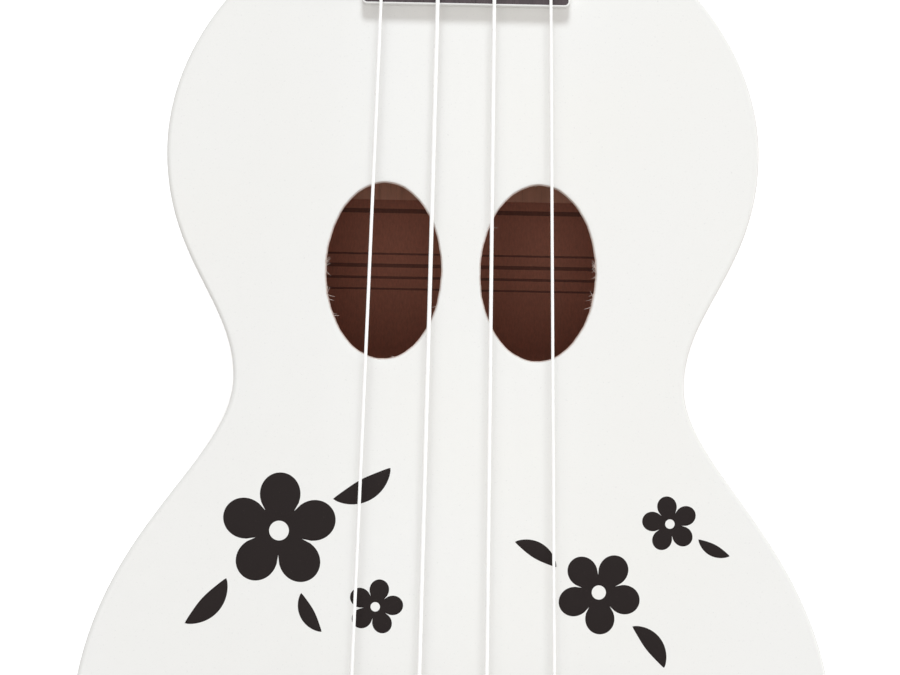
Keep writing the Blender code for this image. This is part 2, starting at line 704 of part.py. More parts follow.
def frets(holder):
    """Each fret is a rounded crown over a tang that stands in its slot."""
    crown = [(FRET_CROWN_WIDE / 2 * math.cos(a), FIT + FRET_CROWN_HIGH * math.sin(a))
             for a in np.linspace(0, np.pi, 6)]
    tang = FRET_TANG_WIDE / 2
    outline = [*crown, (-tang, FIT), (-tang, -FRET_TANG_DEEP), (tang, -FRET_TANG_DEEP), (tang, FIT)]
    for number in range(1, FRET_COUNT + 1):
        y = fret_y(number)
        length = 2 * (board_half_width(y) - FRET_INSET)
        bar = flat_piece(f"fret_{number:02d}", [outline], length, holder)
        finish(stood_up(bar, (0, y, BOARD_TOP)), CHROME)


def nut(holder, cutters):
    """The nut, sloping down towards the head, with a slot for each string."""
    high = STRING_LOW_AT_NUT - BOARD_UNDER + max(STRING_DIAMETER.values()) + NUT_OVER_STRING
    rear = NUT_THICK - SEAM
    outline = [(SEAM, 0), (rear, 0), (rear, high * 0.62), (rear - 1.2 * MM, high * 0.86),
               (SEAM + 1 * MM, high), (SEAM, high)]
    obj = stood_up(flat_piece("nut", [outline], BOARD_WIDTH_AT_NUT, holder), (0, NUT_Y, BOARD_UNDER))
    for name in STRINGS:
        start, end = nut_crossing(name), winding(name)[0]
        wide, long = STRING_DIAMETER[name] + 2 * FIT, 4 * NUT_THICK
        below = STRING_DIAMETER[name] / 2 + STRING_CLEAR
        slot = box(f"nut_slot_{name}", (-wide / 2, -long / 2, -below), (wide / 2, long / 2, NUT_THICK), cutters)
        along = (end - start).normalized()
        across = along.cross(Vector((0, 0, 1))).normalized()
        turn = Matrix((across, along, across.cross(along))).transposed().to_4x4()
        slot.matrix_world = Matrix.Translation(start) @ turn
        cut(obj, slot)
    return finish(obj, BONE)


# Bridge and saddle

def bridge(holder, cutters):
    """A slotted bridge: each string drops behind the saddle into a slot, and its knot sits in a pocket."""
    under = NECK_PLANE + SEAM
    outline = [(BRIDGE_FRONT, 0), (BRIDGE_FRONT, BRIDGE_LIP_HIGH), (SADDLE_THICK / 2 + 2.2 * MM, BRIDGE_HIGH),
               (-SADDLE_THICK / 2 - 1.6 * MM, BRIDGE_HIGH), (-SADDLE_THICK / 2 - 3.4 * MM, BRIDGE_REAR_HIGH),
               (1 * MM - BRIDGE_REAR, BRIDGE_REAR_HIGH), (-BRIDGE_REAR, BRIDGE_REAR_HIGH - 1 * MM),
               (-BRIDGE_REAR, 0)]
    obj = stood_up(flat_piece("bridge", [outline], BRIDGE_WIDTH, holder), (0, SADDLE_Y, under))
    slope_ends(obj)
    groove_half = (SADDLE_LENGTH / 2 + FIT, SADDLE_THICK / 2 + FIT)
    groove = box("saddle_groove", (-groove_half[0], SADDLE_Y - groove_half[1],
                                   under + BRIDGE_HIGH - SADDLE_GROOVE_DEEP),
                 (groove_half[0], SADDLE_Y + groove_half[1], under + 3 * BRIDGE_HIGH), cutters)
    cut(obj, groove)
    for name in STRINGS:
        crown, knot = saddle_crossing(name)[-1], knot_place(name)
        wide, radius = STRING_DIAMETER[name] + 4 * FIT, STRING_DIAMETER[name] / 2
        slot = box(f"bridge_slot_{name}", (-wide / 2, -20 * MM, -radius - STRING_CLEAR),
                   (wide / 2, 20 * MM, 20 * MM), cutters)
        slot.matrix_world = Matrix.Translation(crown) @ Matrix.Rotation(STRING_BREAK, 4, "X")
        front_stop = SADDLE_Y - SADDLE_THICK / 2 - 0.6 * MM
        keep_behind(slot, front_stop, knot.y - POCKET_LONG / 2)
        cut(obj, slot)
        floor = knot.z - KNOT_DIAMETER / 2 - FIT
        pocket = box(f"knot_pocket_{name}", (knot.x - POCKET_WIDE / 2, knot.y - 20 * MM, floor),
                     (knot.x + POCKET_WIDE / 2, knot.y + POCKET_LONG / 2, under + 2 * BRIDGE_HIGH), cutters)
        cut(obj, pocket)
    return finish(obj, DARK_WOOD)


def slope_ends(obj):
    """Slopes the bridge's top down to low wings at both ends."""
    bm = bmesh.new()
    bm.from_mesh(obj.data)
    inverse = obj.matrix_world.inverted()
    for hand in (-1, 1):
        edge = Vector((hand * BRIDGE_WIDTH / 2, SADDLE_Y, NECK_PLANE + SEAM + BRIDGE_LIP_HIGH))
        inner = Vector((hand * (BRIDGE_WIDTH / 2 - BRIDGE_WING), SADDLE_Y, NECK_PLANE + SEAM + BRIDGE_HIGH))
        normal = (inner - edge).cross(Vector((0, 1, 0))) * hand
        if normal.z < 0:
            normal.negate()
        cut_made = bmesh.ops.bisect_plane(bm, geom=bm.verts[:] + bm.edges[:] + bm.faces[:],
                                          plane_co=inverse @ edge, plane_no=inverse.to_3x3() @ normal,
                                          clear_outer=True)
        rim = [item for item in cut_made["geom_cut"] if isinstance(item, bmesh.types.BMEdge)]
        bmesh.ops.holes_fill(bm, edges=rim)
    bmesh.ops.recalc_face_normals(bm, faces=bm.faces)
    bm.to_mesh(obj.data)
    bm.free()


def keep_behind(obj, front_y, rear_y):
    """Trims a tilted cutter to the stretch between two places along the instrument."""
    bm = bmesh.new()
    bm.from_mesh(obj.data)
    inverse = obj.matrix_world.inverted()
    for y, way in ((front_y, 1), (rear_y, -1)):
        cut_made = bmesh.ops.bisect_plane(bm, geom=bm.verts[:] + bm.edges[:] + bm.faces[:],
                                          plane_co=inverse @ Vector((0, y, NECK_PLANE)),
                                          plane_no=inverse.to_3x3() @ Vector((0, way, 0)), clear_outer=True)
        rim = [item for item in cut_made["geom_cut"] if isinstance(item, bmesh.types.BMEdge)]
        bmesh.ops.holes_fill(bm, edges=rim)
    bmesh.ops.recalc_face_normals(bm, faces=bm.faces)
    bm.to_mesh(obj.data)
    bm.free()


def saddle(holder):
    """A bone blade with a rounded crown, standing in the bridge's groove."""
    foot = NECK_PLANE + SEAM + BRIDGE_HIGH - SADDLE_GROOVE_DEEP + FIT
    radius = SADDLE_THICK / 2
    high = STRING_LOW_AT_SADDLE - foot
    crown = [(radius * math.cos(a), high - radius + radius * math.sin(a)) for a in np.linspace(0, np.pi, 9)]
    outline = [*crown, (-radius, 0), (radius, 0)]
    return finish(stood_up(flat_piece("saddle", [outline], SADDLE_LENGTH, holder), (0, SADDLE_Y, foot)), BONE)


# Strings

def post_u(name):
    return POST_SIDE[name] * POST_FROM_CENTRE


def knot_place(name):
    """Where the string's knot rests, straight behind the saddle on the falling stretch."""
    start = saddle_crossing(name)[-1]
    y = SADDLE_Y - KNOT_FROM_SADDLE
    return Vector((start.x, y, start.z - (start.y - y) * math.tan(STRING_BREAK)))


def saddle_crossing(name):
    """The string's bend over the saddle's crown, from the level stretch to the falling one."""
    radius = SADDLE_THICK / 2 / math.cos(math.pi / 16) + STRING_CLEAR + STRING_DIAMETER[name] / 2
    centre = Vector((string_x(name, SADDLE_Y), SADDLE_Y, STRING_LOW_AT_SADDLE - SADDLE_THICK / 2))
    return [centre + radius * Vector((0, -math.sin(a), math.cos(a)))
            for a in np.linspace(0, STRING_BREAK, 4)]


def nut_crossing(name):
    """Where the string bears on the nut's front edge."""
    return Vector((string_x(name, NUT_Y), NUT_Y + SEAM,
                   STRING_LOW_AT_NUT + STRING_CLEAR + STRING_DIAMETER[name] / 2))


def winding(name):
    """The turns round the tuning post, from where the string first touches it, up to its hole.

    A helix: the angle runs steadily, the height climbs by one pitch a turn and lifts at the end.
    """
    side_sign = POST_SIDE[name]
    centre_u, centre_v = post_u(name), POST_FROM_NUT[name]
    radius = post_wrap_radius(name)
    start = HEAD_FRAME.inverted() @ nut_crossing(name)
    away = math.hypot(start.x - centre_u, start.y - centre_v)
    base = math.atan2(start.y - centre_v, start.x - centre_u)
    first = base - side_sign * math.acos(radius / away)
    steps = int(TURNS_PER_POST * WINDING_STEPS)
    places = []
    for index in range(steps + 1):
        share = index / steps
        angle = first - side_sign * 2 * math.pi * TURNS_PER_POST * share
        lift = max(0.0, (share * TURNS_PER_POST - TURNS_PER_POST + 0.4) / 0.4)
        up = winding_start(name) + TURN_PITCH * TURNS_PER_POST * share + LAST_TURN_LIFT * lift
        places.append(HEAD_FRAME @ Vector((centre_u + radius * math.cos(angle),
                                           centre_v + radius * math.sin(angle), up)))
    return places


def post_wrap_radius(name):
    """The helix radius at which the faceted string just clears the faceted post."""
    return ((POST_WAIST_RADIUS + STRING_CLEAR + STRING_DIAMETER[name] / 2)
            / math.cos(math.pi / WINDING_STEPS))


def winding_start(name):
    """The height of the first turn, chosen so that the last one ends level with the post's hole."""
    return POST_HOLE_UP - TURN_PITCH * TURNS_PER_POST - LAST_TURN_LIFT


def hole_angle(name):
    """The direction, seen from the front of the head, from which the string enters its post."""
    last = HEAD_FRAME.inverted() @ winding(name)[-1]
    return math.atan2(last.y - POST_FROM_NUT[name], last.x - post_u(name))


def string(name, holder):
    """One nylon string from its knot, over saddle and nut, round its post and through it."""
    diameter = STRING_DIAMETER[name]
    knot = knot_place(name)
    crossing = saddle_crossing(name)
    down = (knot - crossing[-1]).normalized()
    swollen = KNOT_DIAMETER / diameter
    knot_route = [knot + down * KNOT_DIAMETER / 2 * way for way in (0.9, 0.5, -0.5, -0.9)]
    factors = [1, swollen, swollen, 1]
    turns = winding(name)
    centre = HEAD_FRAME @ Vector((post_u(name), POST_FROM_NUT[name], POST_HOLE_UP))
    inwards = (centre - turns[-1]).normalized()
    through = [centre - inwards * POST_WAIST_RADIUS * 0.4, centre + inwards * (POST_WAIST_RADIUS + STRING_TAIL)]
    route = [*knot_route, *reversed(crossing), nut_crossing(name), *turns, *through]
    print(f"string_{name} least gap to itself: {least_self_gap(route, diameter) / MM:.2f} mm")
    return finish(tube(f"string_{name}", route, diameter, holder, factors), NYLON)


def least_self_gap(route, diameter):
    """The least gap between stretches of one cord that are over three diameters apart along it."""
    points = [Vector(p) for p in route]
    fine = []
    for start, end in zip(points[4:], points[5:]):
        count = max(1, int((end - start).length / (diameter / 2)))
        fine += [start + (end - start) * index / count for index in range(count)]
    places = np.array([tuple(p) for p in fine])
    steps = np.linalg.norm(np.diff(places, axis=0), axis=1)
    along = np.concatenate(([0], np.cumsum(steps)))
    places, along = places[along > along[-1] - 80 * MM], along[along > along[-1] - 80 * MM]
    apart = np.linalg.norm(places[:, None] - places[None], axis=2)
    apart[np.abs(along[:, None] - along[None]) < 3 * diameter] = 1
    return float(apart.min()) - diameter


# Tuning machines

def place_on_head(obj, place, rotation=(0, 0, 0)):
    """Places a piece in the headstock's frame: across, along and out of its face."""
    obj.parent = bpy.data.objects["head_frame"]
    obj.location = place
    obj.rotation_euler = rotation
    return obj


def worm_place(name):
    return (post_u(name), POST_FROM_NUT[name] - CENTRE_DISTANCE, WORM_W)


def shaft_turn(name):
    """Turns a shaft's own +X to point away from the head's middle."""
    return (0, 0, 0) if POST_SIDE[name] > 0 else (0, math.pi, 0)


def ferrule(name, holder):
    bore = hole_radius(POST_RADIUS, RUNNING)
    profile = [(bore, FERRULE_FLANGE_THICK), (FERRULE_FLANGE_RADIUS - 0.5 * MM, FERRULE_FLANGE_THICK),
               (FERRULE_FLANGE_RADIUS, FERRULE_FLANGE_THICK - 0.5 * MM), (FERRULE_FLANGE_RADIUS, FIT),
               (FERRULE_RADIUS, FIT), (FERRULE_RADIUS, -FERRULE_DEEP), (bore, -FERRULE_DEEP),
               (bore, FERRULE_FLANGE_THICK)]
    obj = turned(f"ferrule_{name}", profile, holder)
    place_on_head(obj, (post_u(name), POST_FROM_NUT[name], 0))
    return finish(obj, CHROME)


def string_post(name, holder, cutters):
    """A post with a waist for the turns, a hole for the string's end and a square for the gear."""
    waist_low, waist_top = 3 * MM, POST_HIGH - 1.6 * MM
    profile = [(0, POST_HIGH), (POST_RADIUS - 0.8 * MM, POST_HIGH), (POST_RADIUS, POST_HIGH - 0.6 * MM),
               (POST_RADIUS, POST_HIGH - 1 * MM), (POST_WAIST_RADIUS, waist_top),
               (POST_WAIST_RADIUS, waist_low), (POST_RADIUS, waist_low - 1 * MM),
               (POST_RADIUS, PLATE_FRONT + SEAM), (POST_NECK_RADIUS, PLATE_FRONT + SEAM),
               (POST_NECK_RADIUS, GEAR_FRONT + FIT), (0, GEAR_FRONT + FIT)]
    obj = turned(f"string_post_{name}", profile, holder)
    place_on_head(obj, (post_u(name), POST_FROM_NUT[name], 0))
    half = POST_SQUARE / 2
    square = box(f"post_square_{name}", (-half, -half, GEAR_REAR + 0.3 * MM), (half, half, GEAR_FRONT + MM), cutters)
    place_on_head(square, (post_u(name), POST_FROM_NUT[name], 0))
    cut(obj, square, "UNION")
    hole = rod(f"string_hole_{name}", POST_HOLE_RADIUS, 4 * POST_RADIUS, cutters, 8)
    turn = (Matrix.Rotation(hole_angle(name), 4, "Z") @ Matrix.Rotation(math.pi / 2, 4, "Y")).to_euler()
    place_on_head(hole, (post_u(name), POST_FROM_NUT[name], POST_HOLE_UP), turn)
    cut(obj, hole)
    return finish(obj, CHROME)


def tuner_plate(name, holder, cutters):
    """A strip screwed to the head's back, with two ears bent out to carry the worm shaft."""
    half = PLATE_WIDTH / 2
    rear_v, front_v = -CENTRE_DISTANCE - PLATE_PAST_WORM, PLATE_PAST_POST
    corner = 3 * MM
    outline = []
    for cx, cy, start in ((half - corner, front_v - corner, 0), (corner - half, front_v - corner, 90),
                          (corner - half, rear_v + corner, 180), (half - corner, rear_v + corner, 270)):
        for step in range(4):
            angle = math.radians(start + 30 * step)
            outline.append((cx + corner * math.cos(angle), cy + corner * math.sin(angle)))
    strip = flat_piece(f"tuner_plate_{name}", [outline], PLATE_THICK, holder)
    obj = to_mesh(strip)
    place_on_head(obj, (post_u(name), POST_FROM_NUT[name], (PLATE_FRONT + PLATE_REAR) / 2))
    for label, inner in (("inner", -half), ("outer", half - PLATE_THICK)):
        ear = [(EAR_HALF * math.cos(a), -EAR_HALF * math.sin(a)) for a in np.linspace(0, np.pi, 7)]
        foot = PLATE_REAR + PLATE_THICK / 2 - WORM_W
        ear = [(EAR_HALF, foot), *ear, (-EAR_HALF, foot)]
        piece = flat_piece(f"ear_{label}_{name}", [ear], PLATE_THICK, cutters)
        piece = stood_up(piece, (0, 0, 0))
        place_on_head(piece, (post_u(name) + inner + PLATE_THICK / 2,
                              POST_FROM_NUT[name] - CENTRE_DISTANCE, WORM_W))
        piece.rotation_euler = (math.pi / 2, 0, math.pi / 2)
        cut(obj, piece, "UNION")
    bore = rod(f"ear_bore_{name}", hole_radius(WORM_ROOT_RADIUS, RUNNING), 2 * PLATE_WIDTH, cutters)
    place_on_head(bore, worm_place(name), (0, math.pi / 2, 0))
    cut(obj, bore)
    bore = rod(f"plate_bore_{name}", hole_radius(POST_NECK_RADIUS, RUNNING), 2 * PLATE_THICK, cutters)
    place_on_head(bore, (post_u(name), POST_FROM_NUT[name], (PLATE_FRONT + PLATE_REAR) / 2))
    cut(obj, bore)
    return finish(obj, CHROME)


def gear(name, holder, cutters):
    """A worm wheel: straight-flanked teeth, slanted to lie along the worm's thread."""
    slant = math.atan2(WORM_PITCH, 2 * math.pi * WORM_PITCH_RADIUS)
    outline = []
    for tooth in range(GEAR_TEETH):
        middle = 2 * math.pi * tooth / GEAR_TEETH - math.pi / 2
        for radius, wide in ((GEAR_ROOT_RADIUS, GEAR_ROOT_WIDE), (GEAR_TIP_RADIUS, GEAR_TIP_WIDE)):
            outline.append((radius, middle - wide / 2 / radius))
        for radius, wide in ((GEAR_TIP_RADIUS, GEAR_TIP_WIDE), (GEAR_ROOT_RADIUS, GEAR_ROOT_WIDE)):
            outline.append((radius, middle + wide / 2 / radius))
    sections = []
    for height in (-GEAR_THICK / 2, GEAR_THICK / 2):
        twist = height * math.tan(slant) / GEAR_PITCH_RADIUS
        sections.append([(r * math.cos(a + twist), r * math.sin(a + twist), height) for r, a in outline])
    obj = loft(f"gear_{name}", sections, holder)
    place_on_head(obj, (post_u(name), POST_FROM_NUT[name], WORM_W))
    half = POST_SQUARE / 2 + FIT
    seat = box(f"gear_seat_{name}", (-half, -half, -GEAR_THICK), (half, half, GEAR_THICK), cutters)
    place_on_head(seat, (post_u(name), POST_FROM_NUT[name], WORM_W))
    cut(obj, seat)
    return finish(obj, GEAR_METAL)


def worm_thread(name, holder):
    """One right-hand thread: a tapered ridge along a helix, run out at both ends."""
    sections = []
    count = int(WORM_TURNS * WORM_STEPS)
    for index in range(count + 1):
        turn = index / WORM_STEPS - WORM_TURNS / 2
        height = min(1.0, 0.1 + min(index, count - index) / (WORM_STEPS / 3))
        angle = 2 * math.pi * turn + math.pi  # puts a groove, not the ridge, where the gear meets it
        along = WORM_PITCH * turn
        tip = WORM_ROOT_RADIUS + (WORM_TIP_RADIUS - WORM_ROOT_RADIUS) * height
        tip_wide = WORM_ROOT_WIDE + (WORM_TIP_WIDE - WORM_ROOT_WIDE) * height
        deep = WORM_ROOT_RADIUS * 0.75
        deep_wide = WORM_ROOT_WIDE + WORM_TIP_WIDE * 0.5
        section = [(along + offset, radius * math.cos(angle), radius * math.sin(angle))
                   for radius, offset in ((deep, -deep_wide / 2), (tip, -tip_wide / 2),
                                          (tip, tip_wide / 2), (deep, deep_wide / 2))]
        sections.append(section)
    return loft(f"worm_thread_{name}", sections, holder)


def button_start():
    """How far along its shaft the button begins, from the middle of the worm."""
    edge = max(HEAD_WIDTH_AT_FLARE, HEAD_WIDTH_AT_TOP) / 2
    return edge + BUTTON_FROM_EDGE - POST_FROM_CENTRE


def worm_shaft(name, holder, cutters):
    """The shaft with its thread between two collars, and a thin pin that the button sits on."""
    inner_end = -(PLATE_WIDTH / 2 + 0.5 * MM)
    collar_out = EAR_INNER - FIT
    collar_in = collar_out - COLLAR_THICK
    pin_end = button_start() + BUTTON_BORE_DEEP - 0.5 * MM
    r = WORM_ROOT_RADIUS
    profile = [(0, pin_end), (BUTTON_PIN_RADIUS, pin_end), (BUTTON_PIN_RADIUS, button_start() - FIT),
               (r, button_start() - FIT), (r, collar_out), (COLLAR_RADIUS, collar_out),
               (COLLAR_RADIUS, collar_in), (r, collar_in), (r, -collar_in), (COLLAR_RADIUS, -collar_in),
               (COLLAR_RADIUS, -collar_out), (r, -collar_out), (r, inner_end), (0, inner_end)]
    obj = turned(f"worm_shaft_{name}", profile, holder)
    # The profile is drawn upright; the mesh is laid along +X so that the shaft's axis is its own X
    for vert in obj.data.vertices:
        vert.co = (vert.co.z, vert.co.x, 0)
    obj.modifiers["turn"].axis = "X"
    place_on_head(obj, worm_place(name), shaft_turn(name))
    thread = worm_thread(name, cutters)
    place_on_head(thread, worm_place(name), shaft_turn(name))
    cut(obj, thread, "UNION")
    return finish(obj, CHROME)


def button(name, holder, cutters):
    """An oval key on a short collar, swelling and thinning along its shaft."""
    shapes = ((0, 5.4, 5.4), (0.14, 5.6, 5.4), (0.3, 11.5, 6.4), (0.55, 15, 7), (0.8, 14, 6.6), (0.94, 10.4, 5),
              (1, 5.5, 2.6))
    sections = []
    for share, wide, thick in shapes:
        x = button_start() + BUTTON_LENGTH * share
        wide, thick = BUTTON_WIDTH * wide / 15, BUTTON_THICK * thick / 7
        sections.append([(x, wide / 2 * math.cos(a), thick / 2 * math.sin(a))
                         for a in np.linspace(0, 2 * np.pi, ROUND_STEPS, endpoint=False)])
    obj = loft(f"button_{name}", sections, holder)
    place_on_head(obj, worm_place(name), shaft_turn(name))
    bore = rod(f"button_bore_{name}", BUTTON_PIN_RADIUS + FIT, BUTTON_BORE_DEEP * 2, cutters, 12)
    side_sign = POST_SIDE[name]
    u, v, w = worm_place(name)
    place_on_head(bore, (u + side_sign * button_start(), v, w), (0, math.pi / 2, 0))
    cut(obj, bore)
    return finish(obj, BONE, 60)


def tuners(holder, cutters):
    for name in STRINGS:
        ferrule(name, holder)
        string_post(name, holder, cutters)
        tuner_plate(name, holder, cutters)
        gear(name, holder, cutters)
        worm_shaft(name, holder, cutters)
        button(name, holder, cutters)


def main():
    clear_scene()
    holder = new_collection("soprano_ukulele")
    cutters = new_collection("cutters")
    guide = bpy.data.objects.new("head_frame", None)
    guide.matrix_world = HEAD_FRAME
    holder.objects.link(guide)
    body(holder)
    neck(holder, cutters)
    fretboard(holder, cutters)
    frets(holder)
    nut(holder, cutters)
    bridge(holder, cutters)
    saddle(holder)
    for name in STRINGS:
        string(name, holder)
    tuners(holder, cutters)


main()
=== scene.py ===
"""Looks of a white soprano ukulele, dressed round its packed model.

+X is the treble side, +Y runs from the tail to the headstock, +Z comes out of the soundboard.
All sizes are in metres.
"""

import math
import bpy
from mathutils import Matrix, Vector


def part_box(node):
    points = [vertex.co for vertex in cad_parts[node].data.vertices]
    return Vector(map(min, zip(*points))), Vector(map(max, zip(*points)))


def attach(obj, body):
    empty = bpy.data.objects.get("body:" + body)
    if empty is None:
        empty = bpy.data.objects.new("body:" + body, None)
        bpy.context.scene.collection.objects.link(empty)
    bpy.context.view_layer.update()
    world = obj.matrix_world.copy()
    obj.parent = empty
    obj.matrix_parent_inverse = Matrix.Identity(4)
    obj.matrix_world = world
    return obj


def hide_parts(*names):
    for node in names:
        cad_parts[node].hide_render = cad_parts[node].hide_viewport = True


bl_info = {
    "name": "Soprano ukulele dresser",
    "version": (1, 0, 0),
    "blender": (4, 5, 0),
    "location": "3D View > Sidebar > Ukulele",
    "description": "Makes the visible pieces, finishes and stage of a soprano ukulele",
    "category": "Object",
}

from collections import namedtuple

import bmesh
import bpy
import numpy as np
from bpy.props import FloatProperty, FloatVectorProperty, IntProperty, PointerProperty

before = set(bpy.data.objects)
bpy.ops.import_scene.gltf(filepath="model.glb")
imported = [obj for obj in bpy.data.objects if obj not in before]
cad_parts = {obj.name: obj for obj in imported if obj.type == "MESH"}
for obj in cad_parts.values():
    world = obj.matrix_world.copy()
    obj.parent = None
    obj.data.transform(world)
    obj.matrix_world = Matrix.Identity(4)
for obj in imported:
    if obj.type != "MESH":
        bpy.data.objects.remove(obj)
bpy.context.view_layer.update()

MM = 0.001
STRINGS = ("g", "c", "e", "a")
SIDE_OF = {"g": -1, "c": -1, "e": 1, "a": 1}
BODY_LOW, BODY_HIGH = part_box("back")[0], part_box("soundboard")[1]
NUT_BOX, BOARD_BOX, SADDLE_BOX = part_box("nut"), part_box("fretboard"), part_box("saddle")
TOP = BODY_HIGH.z  # the soundboard's outer face
SEAM = 0.2 * MM  # under what is glued or screwed on
FIT = 0.05 * MM  # play round the ferrules and at the body's curve


def linear(colour):
    """An sRGB hex colour as linear red, green, blue and alpha."""
    parts = np.array([int(colour[at:at + 2], 16) / 255 for at in (1, 3, 5)])
    low, high = parts / 12.92, ((parts + 0.055) / 1.055) ** 2.4
    return (*(float(value) for value in np.where(parts <= 0.04045, low, high)), 1.0)


def length(name, millimetres, description):
    """A length, given in millimetres and kept in metres."""
    return FloatProperty(name=name, description=description, default=millimetres * MM, unit="LENGTH",
                         subtype="DISTANCE")


def colour(name, value, description):
    """A colour, given as sRGB hex and kept linear."""
    return FloatVectorProperty(name=name, description=description, default=linear(value), size=4,
                               subtype="COLOR", min=0, max=1)


class BodySizes(bpy.types.PropertyGroup):
    """Sizes of the hollow body"""
    upper_half: length("Upper bout", 63.7, "Half the width at the upper bout")
    upper_from_top: length("Upper bout place", 56, "From the top of the body to the upper bout")
    waist_half: length("Waist", 48.5, "Half the width at the waist")
    waist_from_top: length("Waist place", 105.2, "From the top of the body to the waist")
    lower_half: length("Lower bout", 82.3, "Half the width at the lower bout")
    lower_from_tail: length("Lower bout place", 55, "From the tail to the lower bout")
    side_thick: length("Side wall", 2.3, "Thickness of the bent sides")
    top_thick: length("Soundboard", 2.5, "Thickness of the soundboard")
    back_thick: length("Back", 3.0, "Thickness of the back")
    edge_round: length("Edge rounding", 0.9, "Radius of the rounded outer edges")
    hole_width: length("Hole width", 24.7, "Width of each oval sound hole")
    hole_length: length("Hole length", 37.8, "Length of each oval sound hole")
    hole_spacing: length("Hole spacing", 33.2, "Between the middles of the two sound holes")
    holes_from_top: length("Hole place", 81.6, "From the top of the body to the holes' middles")
    rim_wide: length("Hole rim", 0.42, "Width of the softened rim round each hole")


class NeckSizes(bpy.types.PropertyGroup):
    """Sizes of the neck, fretboard and headstock"""
    width_at_nut: length("Board at nut", 35, "Width of the fretboard at the nut")
    width_at_end: length("Board at end", 44.7, "Width of the fretboard at its end over the body")
    depth_at_nut: length("Neck at nut", 13.5, "Depth of the neck at the nut")
    depth_at_heel: length("Neck at heel", 15.5, "Depth of the neck before the heel")
    heel_length: length("Heel", 34, "Length of the heel along the neck")
    heel_cap: length("Heel cap", 13, "Length of the heel's flat cap")
    heel_cap_wide: length("Heel cap width", 23, "Width of the heel's flat cap")
    heel_over_back: length("Heel step", 3, "From the heel's cap to the back")
    tilt: FloatProperty(name="Head tilt", description="How far the headstock leans back",
                        default=math.radians(10), unit="ROTATION", subtype="ANGLE")
    head_length: length("Head", 120, "Length of the headstock")
    head_thick: length("Head thickness", 11, "Thickness of the headstock")
    head_flare_wide: length("Head at flare", 57, "Width of the headstock where its flare ends")
    head_top_wide: length("Head at top", 61, "Width of the headstock at its crown")
    head_flare: length("Flare", 20, "Length of the headstock's flare")
    head_crown: length("Crown", 11, "Length of the headstock's curved top")
    fret_wide: length("Fret width", 2.2, "Width of a fret's crown")
    fret_high: length("Fret height", 1.0, "Height of a fret's crown")
    fret_count: IntProperty(name="Frets", description="Number of frets", default=12, min=1, max=18)


class StringSizes(bpy.types.PropertyGroup):
    """Sizes of the strings and their course"""
    scale: length("Scale", 347, "Length between the nut and the saddle")
    spread_at_nut: length("Spread at nut", 27.3, "Between the outer strings at the nut")
    spread_at_saddle: length("Spread at saddle", 44, "Between the outer strings at the saddle")
    clear: length("Clearance", 0.0, "Between a string and what it bears on")
    g: length("G string", 0.68, "Diameter of the G string")
    c: length("C string", 0.86, "Diameter of the C string")
    e: length("E string", 0.78, "Diameter of the E string")
    a: length("A string", 0.64, "Diameter of the A string")
    saddle_thick: length("Saddle", 3, "Thickness of the saddle")
    falls: FloatProperty(name="Break angle", description="How steeply a string falls behind the saddle",
                         default=math.radians(35), unit="ROTATION", subtype="ANGLE")
    knot_behind: length("Knot place", 9.4, "From the saddle to the knot")
    knot_wide: length("Knot", 2.4, "Width of a string's knot")
    post_waist: length("Post waist", 2.6, "Radius of the post where the string is wound")
    post_hole_up: length("Post hole", 9.4, "Height of the post's hole over the headstock")
    turns: FloatProperty(name="Turns", description="Turns of string on each post", default=2.5)
    turn_pitch: length("Turn pitch", 1.36, "Rise of the winding in one turn")
    last_lift: length("Last lift", 1.4, "Extra rise of the winding before the hole")
    tail: length("String tail", 3, "Length of string past the post")


class MachineSizes(bpy.types.PropertyGroup):
    """Sizes of the open tuning machines"""
    near: length("Near posts", 36, "From the nut to the posts of the outer strings")
    far: length("Far posts", 84, "From the nut to the posts of the inner strings")
    from_centre: length("Post offset", 17.5, "From the headstock's middle to a post")
    post: length("Post radius", 3, "Radius of a post")
    post_high: length("Post height", 12, "Height of a post over the headstock")
    ferrule: length("Ferrule radius", 4.9, "Radius of a ferrule's flange")
    ferrule_body: length("Ferrule sleeve", 3.9, "Radius of a ferrule's sleeve")
    ferrule_deep: length("Ferrule depth", 7, "Depth of a ferrule's sleeve")
    plate_thick: length("Plate", 1.0, "Thickness of a tuner's plate")
    gear_pitch: length("Gear pitch radius", 4.9, "Radius at which gear and worm meet")
    gear_tip: length("Gear tip", 5.45, "Radius over the gear's teeth")
    gear_root: length("Gear root", 4.15, "Radius between the gear's teeth")
    gear_thick: length("Gear thickness", 3.0, "Thickness of the gear")
    gear_teeth: IntProperty(name="Teeth", description="Teeth of the gear", default=14, min=8, max=30)
    worm_pitch_radius: length("Worm pitch radius", 2.3, "Radius at which worm and gear meet")
    worm_tip: length("Worm tip", 2.8, "Radius over the worm's thread")
    worm_root: length("Worm root", 1.5, "Radius of the worm's shaft")
    worm_over_plate: length("Worm gap", 0.35, "From the worm's thread to the plate")
    button_from_edge: length("Button place", 3.5, "From the headstock's edge to a button")
    button_long: length("Button length", 13, "Length of a button along its shaft")
    button_wide: length("Button width", 15, "Width of a button")
    button_thick: length("Button thickness", 7, "Thickness of a button")


